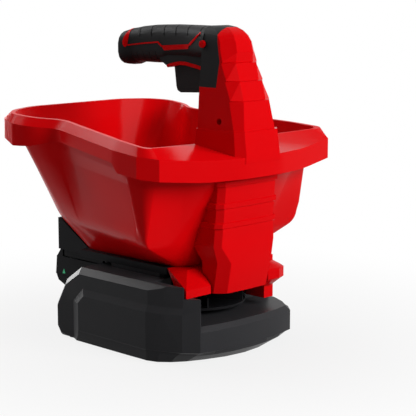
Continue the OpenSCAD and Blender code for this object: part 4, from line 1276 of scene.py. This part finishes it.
@dataclass
class BatteryPack:
    """The sliding pack with its release and charge light."""

    rear_y: float = 169.1
    rear_ribs: Tuple[float, ...] = (52.5, 56.0, 59.5, 63.0)
    rear_rib: Flat = (24.0, 0.8)
    rear_h: float = 2.4
    release_z: float = 71.0
    release_ribs: Tuple[float, ...] = (158.0, 160.0, 162.0, 164.0)
    release_rib: Flat = (12.0, 0.4)
    release_h: float = 1.0

    def build(self) -> None:
        """Dresses the pack and adds the ribs that fingers hold."""
        finish_node("battery_case", BLACK_ABS, Edge.SOFT)
        finish_node("battery_lid", BLACK_ABS, Edge.SMALL, flats=False)
        finish_node("battery_release", RED_ABS, Edge.SMALL)
        finish_node("charge_light", GREEN_LENS, Edge.FINE)
        for k, z in enumerate(self.rear_ribs):
            outline = [(a, self.rear_y, z + b) for a, b in corners(*self.rear_rib)]
            rib = plate(f"battery_rib_{k + 1}", outline, Vector((0, self.rear_h, 0)), BLACK_ABS, Edge.SMALL)
            settle(rib, "battery")
        for k, y in enumerate(self.release_ribs):
            outline = [(a, y + b, self.release_z) for a, b in corners(*self.release_rib)]
            rib = plate(f"release_rib_{k + 1}", outline, Vector((0, 0, self.release_h)), RED_ABS, Edge.FINE)
            settle(rib, "release")


@dataclass
class Lamp:
    """A soft box: place and aim in metres, size in metres and power in watts."""

    name: str
    spot: Point
    aim: Point
    size: Flat
    power: float

    def build(self) -> None:
        """Adds the lamp."""
        data = bpy.data.lights.new(self.name, "AREA")
        data.shape = "RECTANGLE"
        data.size, data.size_y = self.size
        data.energy = self.power
        lamp = bpy.data.objects.new(self.name, data)
        lamp.location = self.spot
        lamp.rotation_euler = (Vector(self.aim) - Vector(self.spot)).to_track_quat("-Z", "Y").to_euler()
        bpy.context.scene.collection.objects.link(lamp)


@dataclass
class Studio:
    """White studio paper, soft lamps and the camera at the photograph's angle."""

    eye: Point = (-0.9357, -0.9947, 0.3626)
    turn: float = -45.22
    tilt: float = 9.72
    lens: float = 117.98
    sensor: float = 36.0
    clip: Flat = (0.05, 80.0)
    paper_z: float = -0.0003
    paper_half: float = 30.0
    paper_colour: str = "#A8A8A8"
    tooth_mm: float = 2.5
    tooth_depth_mm: float = 0.02
    shade_reach: Flat = (0.12, 0.5)
    shade_white: float = 0.84
    fill: float = 0.12
    lamps: List[Lamp] = field(default_factory=lambda: [
        Lamp("key_softbox", (0.45, -1.85, 1.0), (0.0, -0.05, 0.12), (1.1, 1.0), 45),
        Lamp("top_softbox", (0.25, 0.35, 1.9), (0.0, 0.0, 0.1), (1.6, 1.6), 10),
        Lamp("back_softbox", (-0.35, 1.6, 1.5), (0.0, 0.0, 0.15), (1.2, 0.8), 26),
        Lamp("rear_strip", (0.15, 1.5, 0.3), (0.0, 0.0, 0.1), (0.7, 0.5), 9),
    ])

    def build(self) -> None:
        """Builds the stage."""
        self.camera()
        self.paper()
        self.surround()
        for lamp in self.lamps:
            lamp.build()

    def camera(self) -> None:
        """Adds the camera."""
        data = bpy.data.cameras.new("camera")
        data.lens = self.lens
        data.sensor_width = self.sensor
        data.clip_start, data.clip_end = self.clip
        camera = bpy.data.objects.new("camera", data)
        camera.location = self.eye
        camera.rotation_euler = (math.radians(90 - self.tilt), 0, math.radians(self.turn))
        bpy.context.scene.collection.objects.link(camera)
        bpy.context.scene.camera = camera

    def seen(self, tree: bpy.types.NodeTree) -> bpy.types.NodeSocket:
        """Tells rays that see the stage from rays that light the part.

        Args:
            tree: the nodes to add to.

        Returns:
            One where a ray comes from the camera or a reflection, and nought for light.
        """
        path = add_node(tree, "ShaderNodeLightPath").outputs
        shine = add_node(tree, "ShaderNodeMath", {"operation": "MAXIMUM"},
                         {0: path["Is Glossy Ray"], 1: path["Is Transmission Ray"]})
        either = add_node(tree, "ShaderNodeMath", {"operation": "MAXIMUM"},
                          {0: path["Is Camera Ray"], 1: shine.outputs[0]})
        return either.outputs[0]

    def paper(self) -> None:
        """Adds the pale floor, which keeps the shadow near the part and is plain white further off."""
        material = bpy.data.materials.new("paper_seamless_white")
        material.use_nodes = True
        tree = material.node_tree
        tree.nodes.clear()
        where = add_node(tree, "ShaderNodeTexCoord").outputs["Object"]
        tooth = add_node(tree, "ShaderNodeTexNoise",
                         {"Scale": 1 / (self.tooth_mm * MM), "Detail": 2.0}, {"Vector": where})
        bump = add_node(tree, "ShaderNodeBump", {"Strength": 0.1, "Distance": self.tooth_depth_mm * MM},
                        {"Height": tooth.outputs["Fac"]})
        sheet = add_node(tree, "ShaderNodeBsdfPrincipled",
                         {"Base Color": linear(self.paper_colour), "Roughness": 0.9,
                          "Specular IOR Level": 0.1}, {"Normal": bump.outputs["Normal"]})
        glow = add_node(tree, "ShaderNodeEmission", {"Color": linear(WHITE), "Strength": 1.0})
        away = add_node(tree, "ShaderNodeVectorMath", {"operation": "LENGTH"}, {0: where})
        white = add_node(tree, "ShaderNodeMapRange",
                         {"interpolation_type": "SMOOTHSTEP", "From Min": self.shade_reach[0],
                          "From Max": self.shade_reach[1], "To Min": self.shade_white, "To Max": 1.0},
                         {"Value": away.outputs["Value"]})
        share = add_node(tree, "ShaderNodeMath", {"operation": "MULTIPLY"},
                         {0: self.seen(tree), 1: white.outputs["Result"]})
        blend = add_node(tree, "ShaderNodeMixShader", {},
                         {0: share.outputs[0], 1: sheet.outputs["BSDF"], 2: glow.outputs[0]})
        add_node(tree, "ShaderNodeOutputMaterial", {}, {"Surface": blend.outputs[0]})
        mesh = bpy.data.meshes.new("floor")
        sheet_corners = [(x, y, self.paper_z) for x, y in corners(self.paper_half, self.paper_half)]
        mesh.from_pydata(sheet_corners, [], [[0, 1, 2, 3]])
        mesh.materials.append(material)
        floor = bpy.data.objects.new("floor", mesh)
        bpy.context.scene.collection.objects.link(floor)

    def surround(self) -> None:
        """Sets a weak even fill, which looks white to the camera and in reflections."""
        world = bpy.data.worlds.new("studio")
        bpy.context.scene.world = world
        world.use_nodes = True
        tree = world.node_tree
        tree.nodes.clear()
        strength = add_node(tree, "ShaderNodeMapRange", {"To Min": self.fill, "To Max": 1.0},
                            {"Value": self.seen(tree)})
        light = add_node(tree, "ShaderNodeBackground", {"Color": linear(WHITE)},
                         {"Strength": strength.outputs["Result"]})
        add_node(tree, "ShaderNodeOutputWorld", {}, {"Surface": light.outputs[0]})
        bpy.context.scene.view_settings.view_transform = "Standard"


def main() -> None:
    """Builds the stage and every sub-assembly in order."""
    logging.basicConfig(level=logging.INFO, format="%(name)s: %(message)s")
    for part in (Studio(), Hopper(), Grip(), Base(), Controls(), BatteryPack()):
        part.build()
        LOG.info("built %s", type(part).__name__)


if __name__ == "__main__":
    main()
